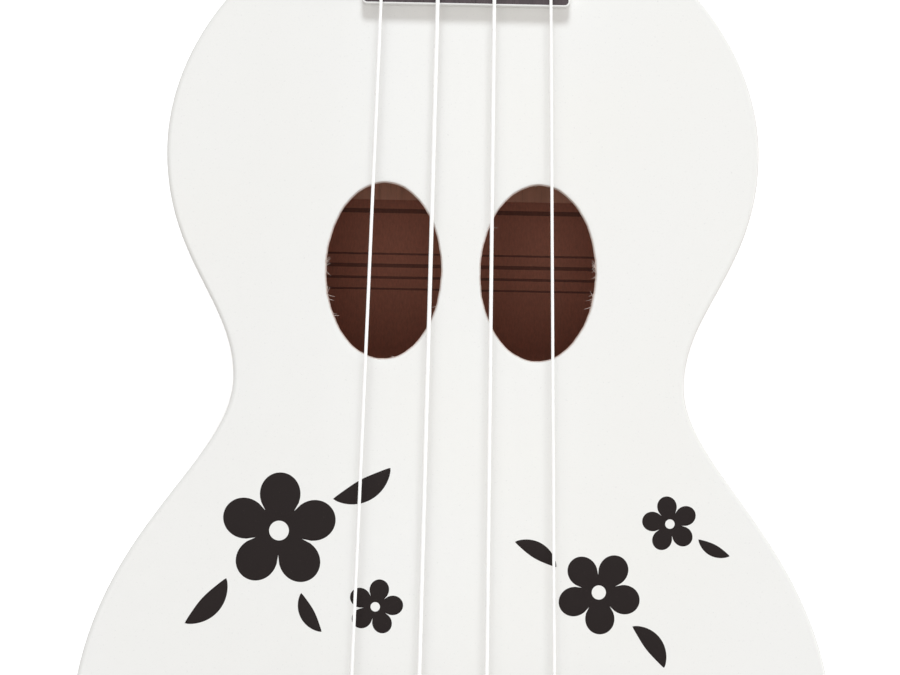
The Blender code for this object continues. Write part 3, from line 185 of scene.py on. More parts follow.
class Finishes(bpy.types.PropertyGroup):
    """Colours of the finishes"""
    paint: colour("Paint", "#f0f0ee", "White lacquer on body and neck")
    raw_wood: colour("Raw wood", "#e2aa90", "Unfinished wood inside the body")
    sawn_edge: colour("Sawn edge", "#d9c8bf", "Wood at the holes' rims, dusted with paint")
    board: colour("Fretboard", "#44383c", "Stained fretboard wood")
    bridge: colour("Bridge", "#46383a", "Stained bridge wood")
    fret: colour("Frets", "#c9c6bd", "Fret wire")
    bone: colour("Nut and saddle", "#efece0", "Nut and saddle plastic")
    nylon: colour("Strings", "#f7f7f5", "Clear nylon, seen as white")
    plating: colour("Plating", "#c9cacc", "Nickel plating on the machines")
    brass: colour("Gears", "#c9ab6c", "Brass of the gears")
    button: colour("Buttons", "#f0efe9", "White plastic of the buttons")
    paper: colour("Paper", "#ba7963", "Paper of the label inside")
    ink: colour("Ink", "#221a19", "Black print on the soundboard")
    floor: colour("Floor", "#ffffff", "Floor under the instrument")


GROUPS = {"ukulele_body": BodySizes, "ukulele_neck": NeckSizes, "ukulele_strings": StringSizes,
          "ukulele_machines": MachineSizes, "ukulele_finishes": Finishes}


def sizes(name):
    """The settings of one group, such as body or neck."""
    return getattr(bpy.context.scene, f"ukulele_{name}")


# Surfaces

def grid_faces(rows, columns, rows_closed, columns_closed):
    """Four-cornered faces between neighbouring points of a grid, over the seam where it is closed."""
    row, column = np.meshgrid(np.arange(rows - (not rows_closed)), np.arange(columns - (not columns_closed)),
                              indexing="ij")
    below, right = (row + 1) % rows, (column + 1) % columns
    corners = (row * columns + column, row * columns + right, below * columns + right, below * columns + column)
    return np.stack(corners, -1).reshape(-1, 4)


def weld(mesh, near=0.0005 * MM):
    """Joins the points that lie in one place, drops empty faces and turns every face outwards."""
    shape = bmesh.new()
    shape.from_mesh(mesh)
    bmesh.ops.remove_doubles(shape, verts=shape.verts, dist=near)
    bmesh.ops.dissolve_degenerate(shape, dist=near / 5, edges=shape.edges)
    bmesh.ops.recalc_face_normals(shape, faces=shape.faces)
    shape.to_mesh(mesh)
    shape.free()


def grids_to_mesh(name, grids):
    """One mesh from grids of points, each (points, rows closed, columns closed, material number)."""
    points = np.concatenate([grid[0].reshape(-1, 3) for grid in grids])
    starts = np.cumsum([0] + [grid[0].shape[0] * grid[0].shape[1] for grid in grids])
    faces = [grid_faces(*grid[0].shape[:2], *grid[1:3]) + start for grid, start in zip(grids, starts)]
    looks = np.concatenate([np.full(len(part), grid[3]) for part, grid in zip(faces, grids)])
    faces = np.concatenate(faces)
    mesh = bpy.data.meshes.new(name)
    mesh.vertices.add(len(points))
    mesh.vertices.foreach_set("co", points.astype(np.float32).ravel())
    mesh.loops.add(faces.size)
    mesh.loops.foreach_set("vertex_index", faces.astype(np.int32).ravel())
    mesh.polygons.add(len(faces))
    mesh.polygons.foreach_set("loop_start", np.arange(0, faces.size, 4, dtype=np.int32))
    mesh.polygons.foreach_set("material_index", looks.astype(np.int32))
    mesh.update(calc_edges=True)
    weld(mesh)
    return mesh


def place(mesh, materials, body, replaces=(), smooth=35):
    """Makes a mesh into a piece: its finishes, the body it rides on and the nodes it stands for."""
    obj = bpy.data.objects.new(mesh.name, mesh)
    bpy.context.scene.collection.objects.link(obj)
    for look in materials:
        mesh.materials.append(material(look))
    mesh.shade_smooth()
    mesh.set_sharp_from_angle(angle=math.radians(smooth))
    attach(obj, body)
    if replaces:
        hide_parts(*replaces)
    return obj


def surface(name, grids, materials, body, replaces=(), smooth=35):
    """Makes grids into one mesh, and the mesh into a piece."""
    return place(grids_to_mesh(name, grids), materials, body, replaces, smooth)


def combine(mesh, other, operation="DIFFERENCE"):
    """Cuts another closed mesh out of this one, or joins it, with an exact Boolean."""
    pair = [bpy.data.objects.new(part.name, part) for part in (mesh, other)]
    for obj in pair:
        bpy.context.scene.collection.objects.link(obj)
    step = pair[0].modifiers.new("combine", "BOOLEAN")
    step.operation, step.solver, step.object = operation, "EXACT", pair[1]
    bpy.context.view_layer.update()
    made = bpy.data.meshes.new_from_object(pair[0].evaluated_get(bpy.context.evaluated_depsgraph_get()))
    name = mesh.name
    for obj in pair:
        data = obj.data
        bpy.data.objects.remove(obj)
        bpy.data.meshes.remove(data)
    if len(made.polygons) < 4:
        raise RuntimeError(f"{name}: nothing is left after the cut")
    made.name = name
    return made


def unit(rows):
    """Each row's direction: the row divided by its length."""
    return rows / np.linalg.norm(rows, axis=-1)[..., None]


def circle(sides):
    """Even angles round a circle."""
    return np.linspace(0, 2 * np.pi, sides, endpoint=False)


def at_height(flat, z):
    """Points on a plane, lifted to one height."""
    return np.concatenate((flat, np.full((*flat.shape[:-1], 1), z)), -1)


def rings(path, radius, along, first, sides):
    """A ring at each place of a path: first by the cosine, and its cross product with along by the sine."""
    angle = circle(sides)[None, :, None]
    second = np.cross(along, first)
    return path[:, None] + radius * (first[:, None] * np.cos(angle) + second[:, None] * np.sin(angle))


def tube(path, radius, across, sides=14):
    """A round cord: at each place of the path a ring stands across its direction, closed at both ends."""
    path = np.asarray(path, float)
    radius = np.broadcast_to(radius, len(path))[:, None, None]
    along = unit(np.gradient(path, axis=0))
    first = unit(across - (along @ np.asarray(across, float))[:, None] * along)
    ends = [np.repeat(path[at][None, None], sides, 1) for at in (0, -1)]
    return np.concatenate((ends[0], rings(path, radius, along, first, sides), ends[1]))


def turned(profile, sides=40):
    """A profile of (radius, height) turned round the Z axis: x and y are the radius at each angle."""
    profile = np.asarray(profile, float)
    angle = circle(sides)
    radius, height = profile[:, :1], profile[:, 1:]
    return np.stack(np.broadcast_arrays(radius * np.cos(angle), radius * np.sin(angle), height + 0 * angle), -1)


def rounded(profile, radius=0.15 * MM, steps=3):
    """Replaces each corner of a profile by a short curve that starts radius before it."""
    profile = np.asarray(profile, float)
    before, corner, after = profile[:-2], profile[1:-1], profile[2:]

    def towards(other):
        way = other - corner
        far = np.linalg.norm(way, axis=1)[:, None]
        return corner + way / far * np.minimum(radius, far * 0.45)

    share = np.linspace(0, 1, steps + 1)[None, :, None]
    start, end = towards(before)[:, None], towards(after)[:, None]
    curve = (1 - share) ** 2 * start + 2 * (1 - share) * share * corner[:, None] + share ** 2 * end
    return np.vstack((profile[:1], curve.reshape(-1, 2), profile[-1:]))


def capped(sections):
    """Closes both ends of a loft: the end sections drawn in to nine tenths, then to their middle."""
    middles = [np.repeat(sections[at].mean(0)[None, None], sections.shape[1], 1) for at in (0, -1)]
    rings = [middle + (sections[at][None] - middle) * 0.9 for middle, at in zip(middles, (0, -1))]
    return np.concatenate((middles[0], rings[0], sections, rings[1], middles[1]))


def eased(stations, values, places):
    """A smooth curve through values at stations: a cubic on each stretch, its slopes from the neighbours."""
    stations, values = np.asarray(stations, float), np.asarray(values, float)
    slopes = np.gradient(values, stations)
    at = np.clip(np.searchsorted(stations, places) - 1, 0, len(stations) - 2)
    wide = stations[at + 1] - stations[at]
    t = (places - stations[at]) / wide
    return ((2 * t ** 3 - 3 * t ** 2 + 1) * values[at] + (t ** 3 - 2 * t ** 2 + t) * wide * slopes[at]
            + (3 * t ** 2 - 2 * t ** 3) * values[at + 1] + (t ** 3 - t ** 2) * wide * slopes[at + 1])


def softened(node, name, materials, width, segments=2):
    """A copy of a node with its points joined, its flat faces whole and its edges rounded."""
    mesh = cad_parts[node].data.copy()
    mesh.name = name
    shape = bmesh.new()
    shape.from_mesh(mesh)
    bmesh.ops.remove_doubles(shape, verts=shape.verts, dist=0.002 * MM)
    bmesh.ops.dissolve_limit(shape, angle_limit=math.radians(0.5), verts=shape.verts, edges=shape.edges)
    clean = bpy.data.meshes.new(name)
    shape.to_mesh(clean)
    shape.free()
    bpy.data.meshes.remove(mesh)
    obj = place(clean, materials, "instrument", (node,))
    bevel = obj.modifiers.new("rounded edges", "BEVEL")
    bevel.width, bevel.segments, bevel.limit_method = width, segments, "ANGLE"
    bevel.angle_limit = math.radians(25)
    bevel.use_clamp_overlap = True
    bevel.harden_normals = False
    return obj


# Finishes

def add(tree, kind, inputs=None, **settings):
    """Adds one node: settings are its own, inputs are numbers or the outputs that feed them."""
    node = tree.nodes.new(kind)
    for name, value in settings.items():
        setattr(node, name, value)
    for name, value in (inputs or {}).items():
        if isinstance(value, bpy.types.NodeSocket):
            tree.links.new(value, node.inputs[name])
        else:
            node.inputs[name].default_value = value
    return node


Noise = namedtuple("Noise", "cell detail rough distortion", defaults=(3.0, 0.55, 0.0))
MIDDLE = (0.3, 0.7)  # the range that most of a noise's values lie in
GLOW = ("Emission Color", (1, 1, 1, 1))


def layered(name, tone, roughness, ground, layers, spread=None, relief=None, metallic=0.0, sockets=()):
    """A finish over noises on object coordinates, whose cells are so many millimetres along x, y and z.

    The ground is the tone times a factor. Each layer is (noise, start, full, colour): it covers what lies
    under it not at all where the noise is at start, and wholly where it is full. spread is (noise, low,
    high) of the roughness, and relief is (noise, depth in millimetres) of the surface.
    """
    made = bpy.data.materials.new(name)
    made.use_nodes = True
    tree = made.node_tree
    shader = tree.nodes["Principled BSDF"]
    for socket, value in (("Base Color", tone), ("Roughness", roughness), ("Metallic", metallic), *sockets):
        shader.inputs[socket].default_value = value
    place_at = add(tree, "ShaderNodeTexCoord").outputs["Object"]
    drawn = {}
    for noise in dict.fromkeys(item[0] for item in (*layers, spread, relief) if item):
        scale = [1 / (size * MM) for size in noise.cell]
        scaled = add(tree, "ShaderNodeMapping", {"Vector": place_at, "Scale": scale}).outputs[0]
        drawn[noise] = add(tree, "ShaderNodeTexNoise", {
            "Vector": scaled, "Scale": 1.0, "Detail": noise.detail, "Roughness": noise.rough,
            "Distortion": noise.distortion}).outputs["Fac"]
    under = shaded(tone, ground)
    for noise, start, full, over in layers:
        share = add(tree, "ShaderNodeMapRange", {"Value": drawn[noise], "From Min": start, "From Max": full})
        mix = add(tree, "ShaderNodeMix", {0: share.outputs[0], 6: under, 7: over}, data_type="RGBA")
        under = mix.outputs[2]
    tree.links.new(under, shader.inputs["Base Color"])
    if spread:
        noise, low, high = spread
        share = add(tree, "ShaderNodeMapRange", {"Value": drawn[noise], "From Min": MIDDLE[0],
                                                 "From Max": MIDDLE[1], "To Min": low, "To Max": high})
        tree.links.new(share.outputs[0], shader.inputs["Roughness"])
    if relief:
        noise, depth = relief
        bump = add(tree, "ShaderNodeBump", {"Height": drawn[noise], "Distance": depth * MM, "Strength": 1.0})
        tree.links.new(bump.outputs[0], shader.inputs["Normal"])
    return made


def shaded(value, factor):
    """A colour made lighter or darker by one factor."""
    return (*(min(1.0, part * factor) for part in value[:3]), 1.0)


def lacquer(name, paint):
    """White lacquer, sprayed over sealed wood: even and softly glossy, with faint waves from the spray
    about 2 mm across, dust specks of half a millimetre and a little warmth in broad patches."""
    warm, waves = (paint[0], paint[1] * 0.995, paint[2] * 0.98, 1), Noise((2.2, 2.2, 2.2), 2)
    layers = [(Noise((60, 60, 60), 2), *MIDDLE, warm),
              (Noise((0.5, 0.5, 0.5), 2, 0.7), 0.62, 0.78, shaded(paint, 0.88))]
    return layered(name, paint, 0.34, 1, layers, (waves, 0.38, 0.48), (waves, 0.008), sockets=(
        ("Specular IOR Level", 0.35), ("Coat Weight", 0.12), ("Coat Roughness", 0.1)))


def wood(name, tone, dark, light, grain, roughness, pore_depth, shine=0.5):
    """Plain-sawn wood: bands of tone a few millimetres wide along the grain, short dark pores a third of
    a millimetre wide, drawn a little wider than real so that they show, and a faint ribbed feel."""
    bands, pores = Noise(tuple(size * 7 for size in grain), 4, 0.6, 0.6), Noise(grain, 3, 0.6)
    layers = [(bands, *MIDDLE, shaded(tone, light)), (pores, 0.56, 0.72, shaded(tone, dark * 0.8))]
    return layered(name, tone, roughness, dark, layers, (pores, roughness - 0.08, roughness + 0.12),
                   (pores, pore_depth), sockets=(("Specular IOR Level", shine),))


def metal(name, tone, roughness, stroke):
    """Bare or plated metal, polished along one direction: hairline strokes catch the light, and thin
    cloudy patches of handling dull it."""
    haze = Noise((4, 4, 4))
    return layered(name, tone, roughness, 0.9, [(haze, *MIDDLE, shaded(tone, 1.06))],
                   (haze, roughness * 0.8, roughness * 1.35), (Noise(stroke, 3, 0.65), 0.004), 1.0)


def moulded(name, tone, roughness, soft, sockets=()):
    """Moulded and tumbled plastic: even, slightly milky, with faint clouding and a low sheen."""
    cloud = Noise((3, 3, 3))
    return layered(name, tone, roughness, 0.96, [(cloud, *MIDDLE, shaded(tone, 1.02))],
                   (cloud, roughness - 0.05, roughness + 0.08), (Noise((0.6, 0.6, 0.6), 2), 0.006), sockets=(
                       ("Subsurface Weight", soft), ("Subsurface Radius", (0.6 * MM, 0.55 * MM, 0.5 * MM)),
                       ("Subsurface Scale", 1.0), *sockets))


def nylon(name, tone):
    """Clear drawn nylon with a faint painted glow from its emission, so that the strings look whiter than what
    lies behind them.
    """
    # The emission strength is a painted glow that lifts the strings to white; the nylon is no lamp
    return moulded(name, tone, 0.3, 0.1, (GLOW, ("Emission Strength", 0.16)))


def printed(name, tone):
    """Screen-printed ink over lacquer: flat and near black, with small pinholes and dust."""
    return layered(name, tone, 0.5, 1, [(Noise((0.35, 0.35, 0.35), 2, 0.7), 0.66, 0.8, shaded(tone, 2.6))],
                   relief=(Noise((0.8, 0.8, 0.8), 2), 0.01), sockets=(("Specular IOR Level", 0.15),))


def paper(name, tone):
    """Uncoated paper: fibres a millimetre long show as a fine mottling, with no gloss."""
    fibres = Noise((0.4, 1.2, 1.0), 3, 0.7)
    return layered(name, tone, 0.85, 0.86, [(fibres, *MIDDLE, shaded(tone, 1.1))], relief=(fibres, 0.01))


def floor_paint(name, tone):
    """A white paper sweep, lit from below as well, so that it stays near white under the instrument."""
    return layered(name, tone, 0.9, 0.985, [(Noise((1.5, 1.5, 1.5), 2), *MIDDLE, tone)], sockets=(
        ("Specular IOR Level", 0.1), GLOW, ("Emission Strength", 0.55)))


LOOKS = {
    "white_lacquer": lambda f, n: lacquer(n, f.paint),
    "raw_mahogany": lambda f, n: wood(n, f.raw_wood, 0.84, 1.1, (0.5, 9, 0.5), 0.78, 0.02, 0.2),
    "sawn_plywood_edge": lambda f, n: wood(n, f.sawn_edge, 0.82, 1.1, (0.5, 0.5, 0.3), 0.7, 0.05, 0.2),
    "stained_fretboard_wood": lambda f, n: wood(n, f.board, 0.7, 1.35, (0.45, 8, 0.45), 0.5, 0.03),
    "stained_bridge_wood": lambda f, n: wood(n, f.bridge, 0.7, 1.35, (8, 0.45, 0.45), 0.5, 0.03),
    "nickel_silver": lambda f, n: metal(n, f.fret, 0.22, (6, 0.12, 0.12)),
    "nickel_plating": lambda f, n: metal(n, f.plating, 0.2, (0.15, 3, 0.15)),
    "cut_brass": lambda f, n: metal(n, f.brass, 0.28, (0.2, 0.2, 0.2)),
    "bone_plastic": lambda f, n: moulded(n, f.bone, 0.32, 0.15),
    "button_plastic": lambda f, n: moulded(n, f.button, 0.26, 0.15),
    "white_nylon": lambda f, n: nylon(n, f.nylon),
    "brown_label_paper": lambda f, n: paper(n, f.paper),
    "label_print": lambda f, n: paper(n, shaded(f.paper, 0.42)),
    "black_print": lambda f, n: printed(n, f.ink),
    "white_sweep": lambda f, n: floor_paint(n, f.floor),
}


def material(name):
    """The finish of that name, made the first time that a piece asks for it."""
    return bpy.data.materials.get(name) or LOOKS[name](sizes("finishes"), name)


# Body

OUTLINE_STEPS = 40  # on each of the four stretches of one half
CENTRE_STEPS = 70  # along the centre line
# A rim of the sound hole: shares of its width, and millimetres below the soundboard's face
PAINTED_RIM = ((1, 0), (0.8, 0.03), (0.62, 0.12), (0.5, 0.26))
BARE_RIM = ((0.5, 0.26), (0.2, 0.32), (0.04, 0.42), (0, 0.6))
# How far the control points of the outline's curves stand from the curves' ends
REACHES = {"shoulder": 36.5 * MM, "upper_up": 28 * MM, "upper_down": 24 * MM, "waist_up": 16.5 * MM,
           "waist_down": 19.5 * MM, "lower_up": 45 * MM, "lower_down": 31 * MM, "tail": 52 * MM}


def bezier(start, leave, arrive, end, t):
    """A cubic curve from start to end and its direction: two pairs of points, weighted by powers of t."""
    start, leave, arrive, end = (np.array(p, float) for p in (start, leave, arrive, end))
    t = t[:, None]
    points = (1 - t) ** 3 * start + 3 * (1 - t) ** 2 * t * leave + 3 * (1 - t) * t ** 2 * arrive + t ** 3 * end
    along = (1 - t) ** 2 * (leave - start) + 2 * (1 - t) * t * (arrive - leave) + t ** 2 * (end - arrive)
    return points, along


def half_outline(body, inset=0.0):
    """The treble half of the outline from the top to the tail, moved along its normal by inset.

    Four cubic curves meet at the upper bout, the waist and the lower bout, each level there.
    """
    r = REACHES
    top, tail = BODY_HIGH.y, BODY_LOW.y
    upper, waist, lower = top - body.upper_from_top, top - body.waist_from_top, tail + body.lower_from_tail
    t = np.linspace(0, 1, OUTLINE_STEPS + 1)
    stretches = [
        bezier((0, top), (r["shoulder"], top), (body.upper_half, upper + r["upper_up"]),
               (body.upper_half, upper), t),
        bezier((body.upper_half, upper), (body.upper_half, upper - r["upper_down"]),
               (body.waist_half, waist + r["waist_up"]), (body.waist_half, waist), t[1:]),
        bezier((body.waist_half, waist), (body.waist_half, waist - r["waist_down"]),
               (body.lower_half, lower + r["lower_up"]), (body.lower_half, lower), t[1:]),
        bezier((body.lower_half, lower), (body.lower_half, lower - r["lower_down"]), (r["tail"], tail),
               (0, tail), t[1:])]
    points = np.vstack([stretch[0] for stretch in stretches])
    along = unit(np.vstack([stretch[1] for stretch in stretches]))
    moved = points + inset * np.column_stack((along[:, 1], -along[:, 0]))
    moved[[0, -1], 0] = 0
    return moved


def half_loop(body, inset):
    """The half outline, closed along the centre line, and the angle at which the hole's middle sees each point.

    Narrow first and last steps keep the flat shading flat up to the two ends of the centre line.
    """
    outer = half_outline(body, inset)
    middle = hole_middle(body)
    ends = np.arctan2(outer[[-1, 0], 1] - middle[1], middle[0] - outer[[-1, 0], 0])
    angle = np.linspace(ends[0], ends[1], CENTRE_STEPS)
    sliver = 0.04 * (angle[1] - angle[0])
    angle = np.concatenate(((ends[0] + sliver,), angle[1:-1], (ends[1] - sliver,)))
    centre = np.column_stack((0 * angle, middle[1] + middle[0] * np.tan(angle)))
    loop = np.vstack((outer, centre))
    return loop, np.arctan2(loop[:, 1] - middle[1], loop[:, 0] - middle[0])


def hole_middle(body):
    """The middle of the treble side's sound hole."""
    return np.array((body.hole_spacing / 2, BODY_HIGH.y - body.holes_from_top))


def hole_edge(body, angle, grow, hand):
    """The oval's points seen at these angles from its middle, grown a little, with a sawn waver."""
    wide, long = body.hole_width / 2 + grow, body.hole_length / 2 + grow
    reach = 1 / np.hypot(np.cos(angle) / wide, np.sin(angle) / long)
    waver = np.sin(9 * angle + hand) + 0.8 * np.sin(23 * angle + 2 * hand) + 0.5 * np.sin(57 * angle)
    reach = reach + 0.035 * MM * waver
    return hole_middle(body) + reach[:, None] * np.column_stack((np.cos(angle), np.sin(angle)))


def plate(body, level, inset, grow, hand):
    """Half a plate: straight lines from the hole's edge, or from its middle, out to the half's boundary.

    Narrow first and last rows keep the flat shading flat up to the rounded edges.
    """
    loop, angle = half_loop(body, inset)
    inner = hole_middle(body) if grow is None else hole_edge(body, angle, grow, hand)
    share = np.concatenate(((0, 0.015), np.linspace(0.12, 0.88, 7), (0.985, 1)))[:, None, None]
    return at_height(inner * (1 - share) + loop * share, level)


def band(body, profile):
    """A wall along the half outline: one row for each (inset, height) of the profile."""
    return np.stack([at_height(half_outline(body, inset), height) for inset, height in profile])


def rim(body, profile, hand):
    """A wall round the sound hole: one row for each (growth, height) of the profile."""
    angle = half_loop(body, body.edge_round)[1]
    return np.stack([at_height(hole_edge(body, angle, grow, hand), height) for grow, height in profile])


def make_body(body):
    """The painted shell: outer skin, inner skin and the walls of the two oval holes, all one surface."""
    edge, inset = body.edge_round, body.side_thick
    under, floor = TOP - body.top_thick, body.back_thick
    turn = np.linspace(0, np.pi / 2, 8)
    upper = [(edge * (1 - math.sin(a)), TOP - edge * (1 - math.cos(a))) for a in turn]
    lower = [(edge * (1 - math.cos(a)), edge * (1 - math.sin(a))) for a in turn]
    painted, bare = ([(body.rim_wide * share, TOP - down * MM) for share, down in rows]
                     for rows in (PAINTED_RIM, BARE_RIM))
    bare.append((0, under))
    grids = []
    for hand in (-1, 1):
        half = [(rim(body, painted, hand), True, 0), (rim(body, bare, hand), True, 2),
                (plate(body, TOP, edge, body.rim_wide, hand), True, 0), (band(body, upper + lower), False, 0),
                (plate(body, 0.0, edge, None, hand), True, 0), (plate(body, under, inset, 0, hand), True, 1),
                (band(body, [(inset, under), (inset, floor)]), False, 1),
                (plate(body, floor, inset, None, hand), True, 1)]
        grids += [(points * (hand, 1, 1), False, closed, look) for points, closed, look in half]
    return surface("painted_body", grids, ("white_lacquer", "raw_mahogany", "sawn_plywood_edge"), "instrument",
                   ("soundboard", "back", "side_bass", "side_treble"), 30)


# Neck

NUT_Y = NUT_BOX[0].y - SEAM
HEAD_Y = NUT_Y + 5 * MM
SADDLE_Y = (SADDLE_BOX[0].y + SADDLE_BOX[1].y) / 2
BOARD_END_Y = BOARD_BOX[0].y
BOARD_TOP = BOARD_BOX[1].z
FRET_FOOT = BOARD_TOP + 0.1 * MM  # where a fret's crown starts


def head_turn():
    """The turn that leans the headstock's own frame back."""
    lean = sizes("neck").tilt
    return np.array(((1, 0, 0), (0, math.cos(lean), math.sin(lean)), (0, -math.sin(lean), math.cos(lean))))


def on_head(points):
    """Carries points from the headstock's own frame, across, along and out of its face, to the model's."""
    return np.asarray(points, float) @ head_turn().T + (0, HEAD_Y, TOP)


def from_head(point):
    """Carries a point of the model to the headstock's own frame."""
    return (np.asarray(point, float) - (0, HEAD_Y, TOP)) @ head_turn()


def board_half(neck, y):
    """Half the board's width at y, on a straight line from the nut to the board's end."""
    share = (NUT_Y - y) / (NUT_Y - BOARD_END_Y)
    return (neck.width_at_nut + (neck.width_at_end - neck.width_at_nut) * share) / 2


def neck_section(half, depth, squareness, edge, floor=-1.0, steps=49):
    """A flat top with rounded corners over a superellipse: |x| and |z| are powers of cosine and sine."""
    a = np.linspace(0, np.pi, steps)
    power = 2 / squareness
    x = half * np.sign(np.cos(a)) * np.abs(np.cos(a)) ** power
    z = np.maximum(-edge - (depth - edge) * np.abs(np.sin(a)) ** power, floor)
    corner = np.linspace(0, np.pi / 2, 6)[1:]
    left = np.column_stack((-half + edge * (1 - np.cos(corner)), -edge * (1 - np.sin(corner))))
    right = left[::-1] * (-1, 1)
    return np.vstack((np.column_stack((x, z)), left, right[:-1]))


def make_neck(neck, body, machines):
    """Heel, shaft and headstock in one loft, trimmed to the body's curve and bored for the ferrules."""
    cap_deep = TOP - neck.heel_over_back
    root_half = board_half(neck, BODY_HIGH.y)
    shoulder = half_outline(body)[:OUTLINE_STEPS + 1]
    root_y = float(np.interp(root_half, shoulder[:, 0], shoulder[:, 1])) - 2 * MM
    heel_deep = cap_deep * (1 + (neck.heel_cap_wide / (2 * root_half)) ** 2 / 2)
    sweep = neck.heel_length - neck.heel_cap
    rows = []

    def station(y, half, depth, squareness, floor=-1.0):
        section = neck_section(half, depth, squareness, 0.4 * MM, floor)
        rows.append(np.column_stack((section[:, 0], np.full(len(section), y), TOP + section[:, 1])))

    station(root_y, root_half, heel_deep, 1.9, -cap_deep)
    for a in np.radians(np.linspace(90, 0, 26)):
        y = BODY_HIGH.y + neck.heel_cap + sweep * (1 - math.sin(a))
        depth = neck.depth_at_heel + (heel_deep - neck.depth_at_heel) * (1 - math.cos(a))
        station(y, board_half(neck, y), depth, 2.0, -cap_deep)
    station(NUT_Y, neck.width_at_nut / 2, neck.depth_at_nut, 2.2)
    station(HEAD_Y, neck.width_at_nut / 2, neck.depth_at_nut - 0.3 * MM, 2.6)
    rows[-1][:, 1] += (rows[-1][:, 2] - TOP) * math.tan(neck.tilt)
    for along, half, thick, squareness in head_stations(neck):
        section = neck_section(half, thick, squareness, 1 * MM)
        rows.append(on_head(np.column_stack((section[:, 0], np.full(len(section), along), section[:, 1]))))
    mesh = grids_to_mesh("neck_and_head", [(capped(np.stack(rows)), False, True, 0)])
    whole = half_outline(body, -FIT)
    whole = np.vstack((whole, whole[-2:0:-1] * (-1, 1)))
    walls = np.stack([at_height(whole, z) for z in (-10 * MM, TOP + 10 * MM)])
    mesh = combine(mesh, grids_to_mesh("body_seat", [(capped(walls), False, True, 0)]))
    wide = machines.ferrule_body + FIT
    for name in STRINGS:
        bore = turned([(0, 5 * MM), (wide, 5 * MM), (wide, -30 * MM), (0, -30 * MM)], 40)
        bore = on_head(bore + (*post_place(machines, name), 0))
        mesh = combine(mesh, grids_to_mesh("ferrule_bore", [(bore, False, True, 0)]))
    return place(mesh, ("white_lacquer",), "instrument", ("neck",), 32)


def head_stations(neck):
    """(distance from the nut, half width, thickness, squareness) along the headstock."""
    start, flared, top = neck.width_at_nut / 2, neck.head_flare_wide / 2, neck.head_top_wide / 2
    share = np.linspace(0.03, 1, 20)
    smooth = share * share * (3 - 2 * share)
    thick = neck.head_thick + (neck.depth_at_nut - neck.head_thick) * (1 - np.minimum(1, share * 2.2)) ** 2
    flare = np.column_stack((neck.head_flare * share, start + (flared - start) * smooth, thick, 3 + 9 * share))
    last, count = math.radians(84), 22
    a = np.linspace(0, last, count)
    crown = np.column_stack((neck.head_length - neck.head_crown + neck.head_crown * np.sin(a) / math.sin(last),
                             top * np.cos(a) ** 0.8, np.full(count, neck.head_thick), np.full(count, 12.0)))
    return np.vstack((flare, crown))


def make_fretboard(neck):
    """A tapered board with softened edges: its face is stained dark, and its sides and end are painted.

    One ring of points for each inset and height, with the two end corners turned on quarter circles. The
    paint runs a little way on to the face.
    """
    soft, lip, corner, straight = 0.2 * MM, 0.37 * MM, 1.2 * MM, 22
    turn, bend = np.linspace(0, np.pi / 2, 5), np.linspace(0, np.pi / 2, 8)
    insets = [(0, TOP + 0.02 * MM)]
    insets += [(soft * (1 - math.cos(a)), BOARD_TOP - soft * (1 - math.sin(a))) for a in turn]
    insets += [(lip, BOARD_TOP), (lip + 0.02 * MM, BOARD_TOP)]

    def ring(inset, z):
        near, far = BOARD_END_Y + inset, NUT_Y - min(inset, 0.1 * MM)
        radius = corner - inset
        run = np.linspace(near + radius, far, straight + 1)[1:]
        y = np.concatenate((near + radius * (1 - np.cos(bend)), run))
        cut = np.concatenate((radius * (1 - np.sin(bend)), np.zeros(straight)))
        half = np.column_stack((board_half(neck, y) - inset - cut, y))
        return at_height(np.vstack((half, half[::-1] * (-1, 1))), z)

    walls = np.stack([ring(*item) for item in insets])
    drawn_in = np.linspace((1, 1, 1), (0, 1, 1), 6)[:, None]
    grids = [(walls[:-1], False, True, 1), (walls[-2:], False, True, 0), (walls[-1] * drawn_in, False, True, 0),
             ((walls[0] * drawn_in)[::-1], False, True, 0)]
    return surface("stained_fretboard", grids, ("stained_fretboard_wood", "white_lacquer"), "instrument",
                   ("fretboard",), 40)


def fret_place(number):
    """A fret's place: the sounding length halves every twelve frets."""
    return SADDLE_Y + sizes("strings").scale * 2 ** (-number / 12)


def make_frets(neck):
    """Each fret is a half round bar whose height and width fall off over its rounded ends."""
    around, bend = circle(28), np.linspace(0, np.pi / 2, 9)
    side, end, foot = 0.3 * MM, 1.3 * MM, 0.25 * MM  # to the board's edge, of a rounded end, below the crown
    for number in range(1, neck.fret_count + 1):
        y = fret_place(number)
        straight = board_half(neck, y) - side - end
        x = np.concatenate((-straight - end * np.cos(bend), np.linspace(-straight, straight, 12)[1:-1],
                            straight + end * np.sin(bend)))
        size = np.sqrt(np.clip(1 - (np.clip(np.abs(x) - straight, 0, None) / end) ** 2, 0, 1))[:, None]
        width = neck.fret_wide / 2 * (0.35 + 0.65 * size) * np.cos(around)
        height = np.where(np.sin(around) > 0, neck.fret_high * size, foot) * np.sin(around)
        points = np.stack(np.broadcast_arrays(x[:, None] + 0 * around, y + width,
                                              FRET_FOOT + height), -1)
        surface(f"fret_wire_{number:02d}", [(capped(points), False, True, 0)], ("nickel_silver",), "instrument",
                (f"fret_{number:02d}",), 40)


def make_dots(neck):
    """Flush plastic dots in the board, between the frets where a player looks for them."""
    radius, proud, deep = 2.45 * MM, 0.03 * MM, 0.6 * MM
    grids = []
    for number in (5, 7, 10):
        y = (fret_place(number) + fret_place(number - 1)) / 2
        dot = turned([(0, proud), (radius - 0.15 * MM, proud), (radius, 0), (radius, -deep), (0, -deep)])
        grids.append((dot + (0, y, BOARD_TOP), False, True, 0))
    return surface("position_dots", grids, ("bone_plastic",), "instrument")


# Bridge, nut and saddle

